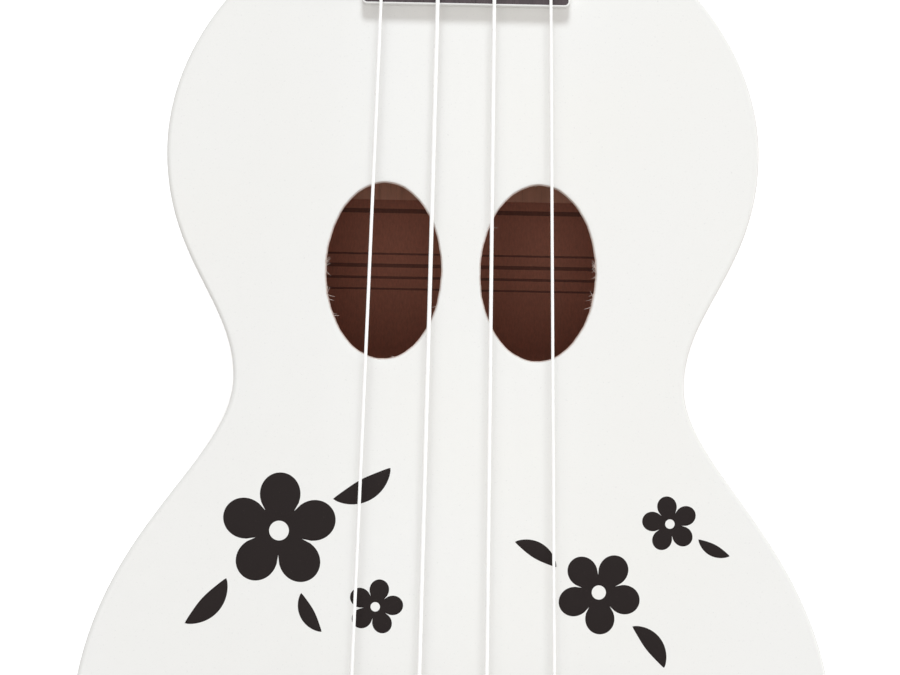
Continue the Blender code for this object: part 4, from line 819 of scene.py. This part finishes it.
def make_bearings():
    """Bridge, nut and saddle, with their edges eased as sandpaper leaves them."""
    softened("bridge", "slotted_bridge", ("stained_bridge_wood",), 0.35 * MM, 3)
    softened("nut", "slotted_nut", ("bone_plastic",), 0.2 * MM, 2)
    softened("saddle", "standing_saddle", ("bone_plastic",), 0.15 * MM, 2)


# Strings

ACTION_AT_NUT, ACTION_AT_OCTAVE = 0.4 * MM, 2.6 * MM  # from the frets' tops to a string
WINDING_SIDES, SADDLE_SIDES = 12, 16  # facets of the solids that a string has to clear


def string_x(strings, name, y):
    """Where a string lies across at y, between the saddle and the nut."""
    spot = STRINGS.index(name) / (len(STRINGS) - 1) - 0.5
    share = (y - SADDLE_Y) / strings.scale
    return spot * (strings.spread_at_saddle + (strings.spread_at_nut - strings.spread_at_saddle) * share)


def string_low(strings):
    """The heights of a string's underside at the nut and at the saddle."""
    fret_top = FRET_FOOT + sizes("neck").fret_high
    return fret_top + ACTION_AT_NUT, fret_top + 2 * ACTION_AT_OCTAVE - ACTION_AT_NUT


def post_place(machines, name):
    """A post's place across and along the headstock."""
    return SIDE_OF[name] * machines.from_centre, machines.near if name in "ga" else machines.far


def wrap(strings, machines, name):
    """The first touch of a string on its post, as (radius, angle, height) in the headstock's frame."""
    middle = strings.post_waist + strings.clear + getattr(strings, name) / 2
    radius = middle / math.cos(math.pi / WINDING_SIDES)
    start = from_head(nut_point(strings, name))
    u, v = post_place(machines, name)
    away = math.hypot(start[0] - u, start[1] - v)
    base = math.atan2(start[1] - v, start[0] - u)
    return (radius, base - SIDE_OF[name] * math.acos(radius / away),
            strings.post_hole_up - strings.turn_pitch * strings.turns - strings.last_lift)


def nut_point(strings, name):
    """Where a string's middle crosses the nut's front edge."""
    height = string_low(strings)[0] + strings.clear + getattr(strings, name) / 2
    return np.array((string_x(strings, name, NUT_Y), NUT_Y + SEAM, height))


def make_string(strings, machines, name):
    """A string from its knot, over the saddle and the nut, to where it first touches its post.

    An arc over the saddle and straight runs, joined at the nut by a short quadratic bend.
    """
    thick, bent = getattr(strings, name), 1 * MM
    radius = strings.saddle_thick / 2 / math.cos(math.pi / SADDLE_SIDES) + strings.clear + thick / 2
    crown = string_low(strings)[1] - strings.saddle_thick / 2
    centre = np.array((string_x(strings, name, SADDLE_Y), SADDLE_Y, crown))
    a = np.linspace(strings.falls, 0, 9)[:, None]
    crossing = centre + radius * np.hstack((0 * a, -np.sin(a), np.cos(a)))
    back = strings.knot_behind - (SADDLE_Y - crossing[0, 1])
    knot = crossing[0] - np.array((0, back, back * math.tan(strings.falls)))
    nut = nut_point(strings, name)
    around, touch, height = wrap(strings, machines, name)
    u, v = post_place(machines, name)
    post = on_head((u + around * math.cos(touch), v + around * math.sin(touch), height))
    level = crossing[-1] + (nut - crossing[-1]) * np.linspace(0.01, 0.995, 30)[:, None]
    share = np.linspace(0, 1, 7)[:, None]
    bend = nut - unit(nut - crossing[-1]) * bent * (1 - share) ** 2 + unit(post - nut) * bent * share ** 2
    falling = nut + (post - nut) * np.linspace(0.05, 1, 10)[:, None]
    start = knot + (crossing[0] - knot) * np.linspace(0, 0.95, 8)[:, None]
    route = np.vstack((start, crossing, level[:-1], bend, falling))
    grids = [(tube(route, thick / 2, (1, 0, 0)), False, True, 0),
             (knot_grid(strings, knot, thick), True, True, 0)]
    return surface(f"nylon_string_{name}", grids, ("white_nylon",), "instrument",
                   (f"string_{name}",), 50)


def knot_grid(strings, middle, thick):
    """A small tied knot: a closed cord along a trefoil, with the tube's own thickness."""
    t = circle(60)
    loop = np.column_stack((np.sin(t) + 2 * np.sin(2 * t), -np.sin(3 * t), np.cos(t) - 2 * np.cos(2 * t)))
    size = (strings.knot_wide - thick) / 2 / 3
    path = middle + loop * size
    along = unit(np.roll(path, -1, 0) - np.roll(path, 1, 0))
    out = path - middle
    first = unit(out - (out * along).sum(1)[:, None] * along)
    return rings(path, thick * 0.45, along, first, 10)


def make_winding(strings, machines, name):
    """The turns on a post: one level ring where the string arrives, a rising helix, and in at the hole."""
    thick, side = getattr(strings, name), SIDE_OF[name]
    short, climb = 0.35, 0.4  # the helix ends this angle before the hole, and lifts over this share of a turn
    radius, touch, height = wrap(strings, machines, name)
    u, v = post_place(machines, name)
    total = 2 * math.pi * strings.turns
    sweep = np.concatenate((np.linspace(-2 * math.pi, 0, 40), np.linspace(0, total - short, 100)[1:]))
    share = np.clip(sweep, 0, None) / total
    lift = np.clip((share * strings.turns - strings.turns + climb) / climb, 0, None)
    angle = touch - side * sweep
    turns = np.column_stack((u + radius * np.cos(angle), v + radius * np.sin(angle),
                             height + strings.turn_pitch * strings.turns * share + strings.last_lift * lift))
    last = touch - side * total
    out = np.array((math.cos(last), math.sin(last), 0))
    centre = np.array((u, v, strings.post_hole_up))
    heading = unit(turns[-1] - turns[-2])
    into, _ = bezier(turns[-1], turns[-1] + heading * 0.9 * MM, centre + out * 2.4 * MM,
                     centre + out * 0.9 * MM, np.linspace(0.08, 1, 12))
    past = centre - out * np.linspace(0.2 * MM, strings.post_waist + strings.tail, 8)[:, None]
    route = on_head(np.vstack((turns, into, past)))
    return surface(f"string_turns_{name}", [(tube(route, thick / 2, head_turn()[:, 2]), False, True, 0)],
                   ("white_nylon",), f"post_{name}", (), 50)


# Tuning machines

def machine_levels(neck, machines):
    """Heights over the head's face of the plate's two faces and of the worm's axis."""
    front = -neck.head_thick - SEAM
    rear = front - machines.plate_thick
    return front, rear, rear - machines.worm_over_plate - machines.worm_tip


def make_ferrule(machines, name):
    """A pressed sleeve with a domed flange round the post."""
    bore, flange, sleeve = machines.post + 0.1 * MM, machines.ferrule, machines.ferrule_body
    low, seat, high = -machines.ferrule_deep, 0.02 * MM, 1.2 * MM
    profile = rounded([(bore, low), (bore, 0.9 * MM), (bore + 0.3 * MM, high), (flange - 0.7 * MM, high),
                       (flange, 0.6 * MM), (flange, seat), (sleeve, seat), (sleeve, low), (bore, low)],
                      0.25 * MM)
    points = on_head(turned(profile, 48) + (*post_place(machines, name), 0))
    return surface(f"post_ferrule_{name}", [(points, False, True, 0)], ("nickel_plating",), "instrument",
                   (f"ferrule_{name}",), 40)


def make_post(neck, strings, machines, name):
    """A turned post with a waist for the string, cross-bored, with a square end for its gear."""
    front, _, worm = machine_levels(neck, machines)
    gear_front, gear_rear = worm + machines.gear_thick / 2, worm - machines.gear_thick / 2
    r, waist, high = machines.post, strings.post_waist, machines.post_high
    slim, square, bore = 2.4 * MM, 2.26 * MM, 0.75 * MM
    profile = rounded([(0, high), (r * 0.72, high), (r, high - 0.7 * MM), (r, high - 1.1 * MM),
                       (waist, high - 1.7 * MM), (waist, 3 * MM), (r, 2 * MM), (r, front + SEAM),
                       (slim, front + SEAM), (slim, gear_front + 0.1 * MM),
                       (0, gear_front + 0.1 * MM)], 0.2 * MM)
    at = (*post_place(machines, name), 0)
    mesh = grids_to_mesh(f"turned_post_{name}", [(on_head(turned(profile, 48) + at), False, True, 0)])
    end = turned([(0, gear_front + 1 * MM), (square, gear_front + 1 * MM), (square, gear_rear + 0.3 * MM),
                  (0, gear_rear + 0.3 * MM)], 4)
    turn = math.pi / 4
    end = end @ np.array(((math.cos(turn), math.sin(turn), 0), (-math.sin(turn), math.cos(turn), 0), (0, 0, 1)))
    mesh = combine(mesh, grids_to_mesh("square", [(on_head(end + at), False, True, 0)]), "UNION")
    last = wrap(strings, machines, name)[1] - SIDE_OF[name] * 2 * math.pi * strings.turns
    out = np.array((math.cos(last), math.sin(last), 0))
    line = np.array((*at[:2], strings.post_hole_up)) + out * np.linspace(-6 * MM, 6 * MM, 3)[:, None]
    hole = tube(on_head(line), bore, head_turn()[:, 2], 20)
    mesh = combine(mesh, grids_to_mesh("cross_bore", [(hole, False, True, 0)]))
    return place(mesh, ("nickel_plating",), f"post_{name}", (f"string_post_{name}",), 35)


def make_gear(neck, machines, name):
    """A cut wheel: its rim follows tooth and gap round the circle, twisted to match the worm's thread."""
    worm = machine_levels(neck, machines)[2]
    teeth, half = machines.gear_teeth, machines.gear_thick / 2
    slant = math.atan(machines.gear_pitch / teeth / machines.worm_pitch_radius)
    phase = np.array((-0.5, -0.19, -0.16, -0.13, -0.055, -0.035, 0, 0.035, 0.055, 0.13, 0.16, 0.19))
    high = np.array((0, 0, 0.06, 0.24, 0.9, 1, 1, 1, 0.9, 0.24, 0.06, 0))
    angle = (2 * np.pi * (np.arange(teeth)[:, None] + phase) / teeth - np.pi / 2).ravel()
    outer = np.tile(machines.gear_root + (machines.gear_tip - machines.gear_root) * high, teeth)
    seat = 1.7 * MM / np.maximum(np.abs(np.cos(angle)), np.abs(np.sin(angle)))
    soft, flank = 0.18 * MM, 2.1 * MM

    def row(radius, height, twisted=1.0):
        twist = height * math.tan(slant) / machines.gear_pitch * twisted
        return np.column_stack((radius * np.cos(angle + twist), radius * np.sin(angle + twist),
                                np.full(len(angle), height)))

    rows = [row(seat, -half, 0), row(outer - flank, -half, 0.5), row(outer - soft, -half)]
    rows += [row(outer, z) for z in np.linspace(-half + soft, half - soft, 7)]
    rows += [row(outer - soft, half), row(outer - flank, half, 0.5), row(seat, half, 0)]
    points = on_head(np.stack(rows) + (*post_place(machines, name), worm))
    return surface(f"cut_gear_{name}", [(points, True, True, 0)], ("cut_brass",), f"post_{name}",
                   (f"gear_{name}",), 30)


def along_shaft(neck, machines, name, points):
    """Lays points drawn round +X at the worm's middle onto the shaft of that string."""
    u, v = post_place(machines, name)
    side = SIDE_OF[name]
    centre = (u, v - machines.gear_pitch - machines.worm_pitch_radius, machine_levels(neck, machines)[2])
    return on_head(points * (side, 1, side) + centre)


def button_start(neck, machines):
    """From a worm's middle out to where its button starts."""
    edge = max(neck.head_flare_wide, neck.head_top_wide) / 2
    return edge + machines.button_from_edge - machines.from_centre


def make_worm(neck, machines, name):
    """The worm's shaft: its radius at each place and angle is the root's plus a ridge that winds round."""
    pitch = 2 * math.pi * machines.gear_pitch / machines.gear_teeth
    start = button_start(neck, machines)
    ear, collar, root, samples = 5 * MM, 2.4 * MM, machines.worm_root, 110
    threaded = np.linspace(-1.62 * pitch, 1.62 * pitch, samples)
    low = [(-6.5 * MM, 0.01 * MM), (-6.5 * MM, root - 0.3 * MM), (-6.2 * MM, root), (-ear + 0.1 * MM, root),
           (-ear + 0.1 * MM, collar), (-ear + 0.6 * MM, collar), (-ear + 0.6 * MM, root)]
    high = [(ear - 0.6 * MM, root), (ear - 0.6 * MM, collar), (ear - 0.1 * MM, collar), (ear - 0.1 * MM, root),
            (start - 0.1 * MM, root), (start - 0.1 * MM, 1.2 * MM), (start + 7.5 * MM, 1.2 * MM),
            (start + 7.5 * MM, 0.01 * MM)]
    x = np.concatenate(([item[0] for item in low], threaded, [item[0] for item in high]))
    radius = np.concatenate(([item[1] for item in low], np.full(samples, root), [item[1] for item in high]))
    angle = circle(48)
    phase = (x[:, None] / pitch - (angle - np.pi) / (2 * np.pi) + 0.5) % 1 - 0.5
    ridge = np.clip((0.30 - np.abs(phase)) / 0.18, 0, 1)
    fade = np.clip((1.5 * pitch - np.abs(x)) / (0.3 * pitch) + 0.15, 0, 1)
    middle = (np.arange(len(x)) >= len(low)) & (np.arange(len(x)) < len(low) + samples)
    r = radius[:, None] + (machines.worm_tip - root) * ridge * (fade * middle)[:, None]
    points = np.stack((x[:, None] + 0 * angle, r * np.cos(angle), r * np.sin(angle)), -1)
    points = along_shaft(neck, machines, name, capped(points))
    return surface(f"threaded_shaft_{name}", [(points, False, True, 0)], ("nickel_plating",), f"knob_{name}",
                   (f"worm_shaft_{name}",), 35)


def make_button(neck, machines, name):
    """A pressed-on key: oval sections whose width and thickness swell and thin along the shaft."""
    start = button_start(neck, machines)
    stations, widest = np.array((0, 0.13, 0.2, 0.34, 0.58)), 0.58
    wide = np.array((5.4, 5.5, 6.8, 12.4, 15)) / 15 * machines.button_wide
    thick = np.array((5.4, 5.4, 5.6, 6.5, 7)) / 7 * machines.button_thick
    outer_end = widest + (1 - widest) * np.sin(np.linspace(0, np.pi / 2, 22))
    t = np.concatenate((np.linspace(0, widest, 20), outer_end[1:]))
    falling = (1 - np.clip((t - widest) / (1 - widest), 0, 1) ** 2.3) ** (1 / 2.3)
    half_wide, half_thick = (eased(stations, full, np.minimum(t, widest)) / 2 * falling
                             for full in (wide, thick))
    a = circle(48)
    y = half_wide[:, None] * np.sign(np.cos(a)) * np.abs(np.cos(a)) ** 0.9
    z = half_thick[:, None] * np.sign(np.sin(a)) * np.abs(np.sin(a)) ** 0.9
    x = start + machines.button_long * t[:, None] + 0 * a
    hole, hole_deep = 1.25 * MM, 8 * MM
    inner = np.stack((np.full(48, start), hole * np.cos(a), hole * np.sin(a)), -1)[None]
    deep = inner + (hole_deep, 0, 0)
    bottom = np.repeat(np.array((start + hole_deep, 0, 0))[None, None], 48, 1)
    tip = np.repeat(np.array((start + machines.button_long, 0, 0))[None, None], 48, 1)
    points = np.concatenate((bottom, deep, inner, np.stack((x, y, z), -1), tip))
    points = along_shaft(neck, machines, name, points)
    return surface(f"tuner_button_{name}", [(points, False, True, 0)], ("button_plastic",), f"knob_{name}",
                   (f"button_{name}",), 40)


def screw_grid(radius, high, slot_half=0.28 * MM):
    """A domed screw head: height falls off as a parabola, with a straight slot sunk across it."""
    ring = np.concatenate((np.linspace(0, 0.96, 14), np.full(3, 1.0)))
    drop = np.concatenate((1 - 0.45 * np.linspace(0, 0.96, 14) ** 2, (0.5, 0.0, -0.6)))
    a = circle(56)
    x, y = radius * ring[:, None] * np.cos(a), radius * ring[:, None] * np.sin(a)
    sunk = np.clip((slot_half - np.abs(y)) / (0.3 * slot_half), 0, 1) * (ring < 1)[:, None]
    z = high * drop[:, None] - 0.55 * high * sunk + 0 * a
    base = np.repeat(np.array((0, 0, -0.6 * high))[None, None], 56, 1)
    return np.concatenate((np.stack((x, y, z), -1), base))


def make_machines(neck, strings, machines):
    """All the pieces of the four machines, with a screw in each gear and two in each plate."""
    _, rear, worm = machine_levels(neck, machines)
    for name in STRINGS:
        softened(f"tuner_plate_{name}", f"eared_plate_{name}", ("nickel_plating",), 0.15 * MM)
        make_ferrule(machines, name)
        make_post(neck, strings, machines, name)
        make_gear(neck, machines, name)
        make_worm(neck, machines, name)
        make_button(neck, machines, name)
        at = post_place(machines, name)
        gear_screw = screw_grid(2.5 * MM, 1.1 * MM) * (1, -1, -1)
        gear_screw = gear_screw + (*at, worm - machines.gear_thick / 2)
        surface(f"gear_screw_{name}", [(on_head(gear_screw), False, True, 0)], ("nickel_plating",),
                f"post_{name}", (), 40)
        screws = []
        for v in (6 * MM, -machines.gear_pitch - machines.worm_pitch_radius - 4.6 * MM):
            head = screw_grid(1.7 * MM, 0.8 * MM) * (1, -1, -1) + (at[0], at[1] + v, rear)
            screws.append((on_head(head), False, True, 0))
        surface(f"plate_screws_{name}", screws, ("nickel_plating",), "instrument", (), 40)


# Label and print

# Where each printed rule starts and ends, in millimetres from the label's top
LABEL_RULES = ((2.0, 3.0), (12.05, 12.5), (14.5, 15.35), (17.35, 17.95), (20.0, 20.45), (47.0, 48.0))


def make_label(body):
    """A paper label on the back's inside: rows of its grid stand at the edges of its printed rules."""
    wide, long, over_middle = 78 * MM, 52 * MM, 16.9 * MM
    top = BODY_HIGH.y - body.holes_from_top + over_middle
    edges = [0.0] + [value for rule in LABEL_RULES for value in rule] + [long / MM]
    looks = [index % 2 for index in range(len(edges) - 1)]
    margin = 3 * MM
    x = np.concatenate(((-wide / 2,), np.linspace(-wide / 2 + margin, wide / 2 - margin, 24), (wide / 2,)))
    low, high = body.back_thick + 0.02 * MM, body.back_thick + 0.14 * MM
    grids = []
    for start, end, look in zip(edges, edges[1:], looks):
        y = np.array((start, end))
        across = np.stack(np.broadcast_arrays(x, top - y[:, None] * MM, high), -1)
        grids += [(across[:, :2], False, False, 0), (across[:, 1:-1], False, False, look),
                  (across[:, -2:], False, False, 0)]
        grids.append((across * (1, 1, 0) + (0, 0, low), False, False, 0))
        for side in (0, -1):
            wall = np.stack([across[:, side], across[:, side] * (1, 1, 0) + (0, 0, low)], 1)
            grids.append((wall, False, False, 0))
    for y in (top, top - long):
        rows = np.stack([np.stack(np.broadcast_arrays(x, y, z), -1) for z in (low, high)])
        grids.append((rows, False, False, 0))
    return surface("paper_label", grids, ("brown_label_paper", "label_print"), "instrument")


INK = ((0, -0.02), (0, 0.02), (0.03, 0.035), (0.5, 0.035), (0.97, 0.035), (1, 0.02), (1, -0.02))
# the ink's section: the share of its width, and the millimetres over the soundboard


def flower_grid(x, y, size, turn, petals=5):
    """A printed flower: its outer edge swings in and out once a petal, round an open middle."""
    a = circle(160)
    outer = size * (0.42 + 0.58 * np.abs(np.cos(petals / 2 * a)) ** 0.55)
    inner = size * 0.17
    way = np.column_stack((np.cos(a + turn), np.sin(a + turn)))
    return np.stack([at_height((x, y) + (inner + (outer - inner) * share)[:, None] * way, TOP + height * MM)
                     for share, height in INK])


def leaf_grid(x, y, size, turn, bend):
    """A printed leaf: a curved rib whose width on both sides follows a half sine."""
    t = np.linspace(0, 1, 30)
    heading = turn + bend * (t - 0.5)
    rib = np.column_stack((np.cumsum(np.cos(heading)), np.cumsum(np.sin(heading)))) * size / len(t)
    across = np.column_stack((-np.sin(heading), np.cos(heading)))
    half = size * 0.16 * np.sin(np.pi * t) ** 0.8
    return np.stack([at_height((x, y) + rib + across * (half * (2 * share - 1))[:, None], TOP + height * MM)
                     for share, height in INK])


FLOWERS = ((-38, -160, 12.5, 0.3), (31, -172, 9, 1.0), (-17, -176, 6, 0.1), (46, -157, 6, 0.5))
LEAVES = ((-27, -153, 15, 0.5, 0.9), (-49, -170, 14, 4.0, -0.8), (-33, -173, 10, 5.2, 0.8),
          (22, -167, 11, 2.6, 0.7), (38, -179, 12, 5.4, -0.9), (52, -160, 8, 5.8, 0.6))
# across, along and size in millimetres, then the turn, and a leaf's bend


def make_print():
    """Scattered black flowers and leaves, screen-printed on the lower soundboard."""
    grids = [(flower_grid(x * MM, y * MM, size * MM, turn), True, True, 0) for x, y, size, turn in FLOWERS]
    grids += [(leaf_grid(x * MM, y * MM, size * MM, turn, bend), True, False, 0)
              for x, y, size, turn, bend in LEAVES]
    return surface("flower_print", grids, ("black_print",), "instrument", (), 60)


def make_fibres(body):
    """Pale slivers of wood left by the saw: thin curved cords that stand off the holes' walls."""
    generator = np.random.default_rng(7)
    grids = []
    middle = hole_middle(body)
    for hand in (-1, 1):
        for angle in np.concatenate((generator.normal(0.12, 0.13, 9), generator.normal(-0.42, 0.1, 7),
                                     generator.uniform(0.6, 5.6, 4))):
            start = hole_edge(body, np.array((angle,)), 0.1 * MM, hand)[0]
            inwards = unit(middle - start)
            tangent = np.array((-inwards[1], inwards[0])) * generator.choice((-1, 1))
            reach = generator.uniform(0.5, 1.7) * MM
            t = np.linspace(0, 1, 9)[:, None]
            flat = start + tangent * reach * t * 0.8 + inwards * reach * generator.uniform(0.35, 0.9) * t ** 1.4
            drop = TOP - 0.5 * MM - generator.uniform(0.1, 0.6) * MM * t
            path = np.hstack((flat * (hand, 1), drop))
            thin = generator.uniform(0.06, 0.11) * MM * (1 - 0.7 * t[:, 0])
            grids.append((tube(path, thin, (0, 0, 1), 6), False, True, 0))
    return surface("hole_fibres", grids, ("sawn_plywood_edge",), "instrument", (), 60)


def dress_inside():
    """Blocks, linings, braces and patch keep their shapes, and take the raw wood's finish."""
    for name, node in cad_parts.items():
        if name.startswith(("lining_", "top_brace", "back_brace")) or name in ("neck_block", "tail_block",
                                                                               "bridge_patch"):
            node.data.materials.clear()
            node.data.materials.append(material("raw_mahogany"))


# Stage

def area_light(name, place_at, target, size, power, tint=(1, 1, 1)):
    """A round soft light that faces its target."""
    data = bpy.data.lights.new(name, "AREA")
    data.shape, data.size, data.energy, data.color = "DISK", size, power, tint
    obj = bpy.data.objects.new(name, data)
    bpy.context.scene.collection.objects.link(obj)
    obj.location = place_at
    x, y, z = np.asarray(target, float) - np.asarray(place_at, float)
    obj.rotation_euler = (math.atan2(math.hypot(x, y), -z), 0, math.atan2(x, -y) + math.pi)


def make_stage():
    """The white sweep, an even surround, three soft lights and the camera over the soundboard."""
    scene = bpy.context.scene
    reach, count = 6.0, 24
    x, y = np.meshgrid(np.linspace(-reach, reach, count), np.linspace(-reach, reach, count))
    floor = grids_to_mesh("floor", [(np.stack((x, y, 0 * x - 0.02 * MM), -1), False, False, 0)])
    if floor.polygons[0].normal.z < 0:
        floor.flip_normals()
    obj = bpy.data.objects.new("floor", floor)
    scene.collection.objects.link(obj)
    floor.materials.append(material("white_sweep"))
    # Its own glow would wash out the instrument's sides
    obj.visible_diffuse = False
    obj.visible_shadow = False
    world = bpy.data.worlds.new("surround")
    scene.world = world
    world.use_nodes = True
    background = world.node_tree.nodes["Background"]
    background.inputs["Color"].default_value = (1, 0.955, 0.925, 1)
    background.inputs["Strength"].default_value = 0.45
    area_light("front_light", (-0.06, -0.25, 1.7), (0, -0.11, 0.05), 0.9, 4.8)
    area_light("head_light", (0.02, 1.94, 2.5), (0, -0.12, 0.05), 0.85, 46.5, (0.96, 1.015, 1.055))
    area_light("edge_light", (1.1, -0.1, 0.35), (0, -0.12, 0.05), 0.4, 2.5)
    data = bpy.data.cameras.new("camera")
    camera = bpy.data.objects.new("camera", data)
    scene.collection.objects.link(camera)
    distance, seen_width = 1.0, 193.5 * MM  # the picture's width at the soundboard
    camera.location = (-2.04 * MM, -117.8 * MM, TOP + distance)
    camera.rotation_euler = (0, 0, math.radians(1.1))
    data.sensor_width = 36
    data.lens = data.sensor_width * distance / seen_width
    data.clip_start = 0.05
    scene.camera = camera
    scene.view_settings.view_transform = "Standard"


# Add-on

class UKULELE_OT_body(bpy.types.Operator):
    """Make the painted body, its label and the raw wood inside"""
    bl_idname = "ukulele.body"
    bl_label = "Body"

    def execute(self, context):
        make_body(sizes("body"))
        make_label(sizes("body"))
        make_fibres(sizes("body"))
        dress_inside()
        return {"FINISHED"}


class UKULELE_OT_print(bpy.types.Operator):
    """Print the flowers on the soundboard"""
    bl_idname = "ukulele.printed"
    bl_label = "Print"

    def execute(self, context):
        make_print()
        return {"FINISHED"}


class UKULELE_OT_neck(bpy.types.Operator):
    """Make the neck with its heel and headstock"""
    bl_idname = "ukulele.neck"
    bl_label = "Neck"

    def execute(self, context):
        make_neck(sizes("neck"), sizes("body"), sizes("machines"))
        return {"FINISHED"}


class UKULELE_OT_board(bpy.types.Operator):
    """Make the fretboard, its frets and its dots"""
    bl_idname = "ukulele.board"
    bl_label = "Fretboard"

    def execute(self, context):
        make_fretboard(sizes("neck"))
        make_frets(sizes("neck"))
        make_dots(sizes("neck"))
        return {"FINISHED"}


class UKULELE_OT_bearings(bpy.types.Operator):
    """Make the bridge, the nut and the saddle"""
    bl_idname = "ukulele.bearings"
    bl_label = "Bridge, nut and saddle"

    def execute(self, context):
        make_bearings()
        return {"FINISHED"}


class UKULELE_OT_machines(bpy.types.Operator):
    """Make the four tuning machines"""
    bl_idname = "ukulele.machines"
    bl_label = "Tuning machines"

    def execute(self, context):
        make_machines(sizes("neck"), sizes("strings"), sizes("machines"))
        return {"FINISHED"}


class UKULELE_OT_strings(bpy.types.Operator):
    """Make the four strings and their turns on the posts"""
    bl_idname = "ukulele.strings"
    bl_label = "Strings"

    def execute(self, context):
        for name in STRINGS:
            make_string(sizes("strings"), sizes("machines"), name)
            make_winding(sizes("strings"), sizes("machines"), name)
        return {"FINISHED"}


class UKULELE_OT_stage(bpy.types.Operator):
    """Make the floor, the lights and the camera"""
    bl_idname = "ukulele.stage"
    bl_label = "Stage"

    def execute(self, context):
        make_stage()
        return {"FINISHED"}


OPERATORS = (UKULELE_OT_body, UKULELE_OT_print, UKULELE_OT_neck, UKULELE_OT_board, UKULELE_OT_bearings,
             UKULELE_OT_machines, UKULELE_OT_strings, UKULELE_OT_stage)


class UKULELE_PT_sidebar(bpy.types.Panel):
    """Buttons and sizes of the ukulele"""
    bl_idname = "UKULELE_PT_sidebar"
    bl_label = "Ukulele"
    bl_space_type = "VIEW_3D"
    bl_region_type = "UI"
    bl_category = "Ukulele"

    def draw(self, context):
        for operator in OPERATORS:
            self.layout.operator(operator.bl_idname)
        for name, group in GROUPS.items():
            box = self.layout.box()
            box.label(text=group.__doc__)
            for item in group.__annotations__:
                box.prop(getattr(context.scene, name), item)


def register():
    for item in (*GROUPS.values(), *OPERATORS, UKULELE_PT_sidebar):
        bpy.utils.register_class(item)
    for name, group in GROUPS.items():
        setattr(bpy.types.Scene, name, PointerProperty(type=group))


def unregister():
    for name in GROUPS:
        delattr(bpy.types.Scene, name)
    for item in reversed((*GROUPS.values(), *OPERATORS, UKULELE_PT_sidebar)):
        bpy.utils.unregister_class(item)


def main():
    register()
    bpy.ops.ukulele.body()
    bpy.ops.ukulele.printed()
    bpy.ops.ukulele.neck()
    bpy.ops.ukulele.board()
    bpy.ops.ukulele.bearings()
    bpy.ops.ukulele.machines()
    bpy.ops.ukulele.strings()
    bpy.ops.ukulele.stage()


if __name__ == "__main__":
    main()
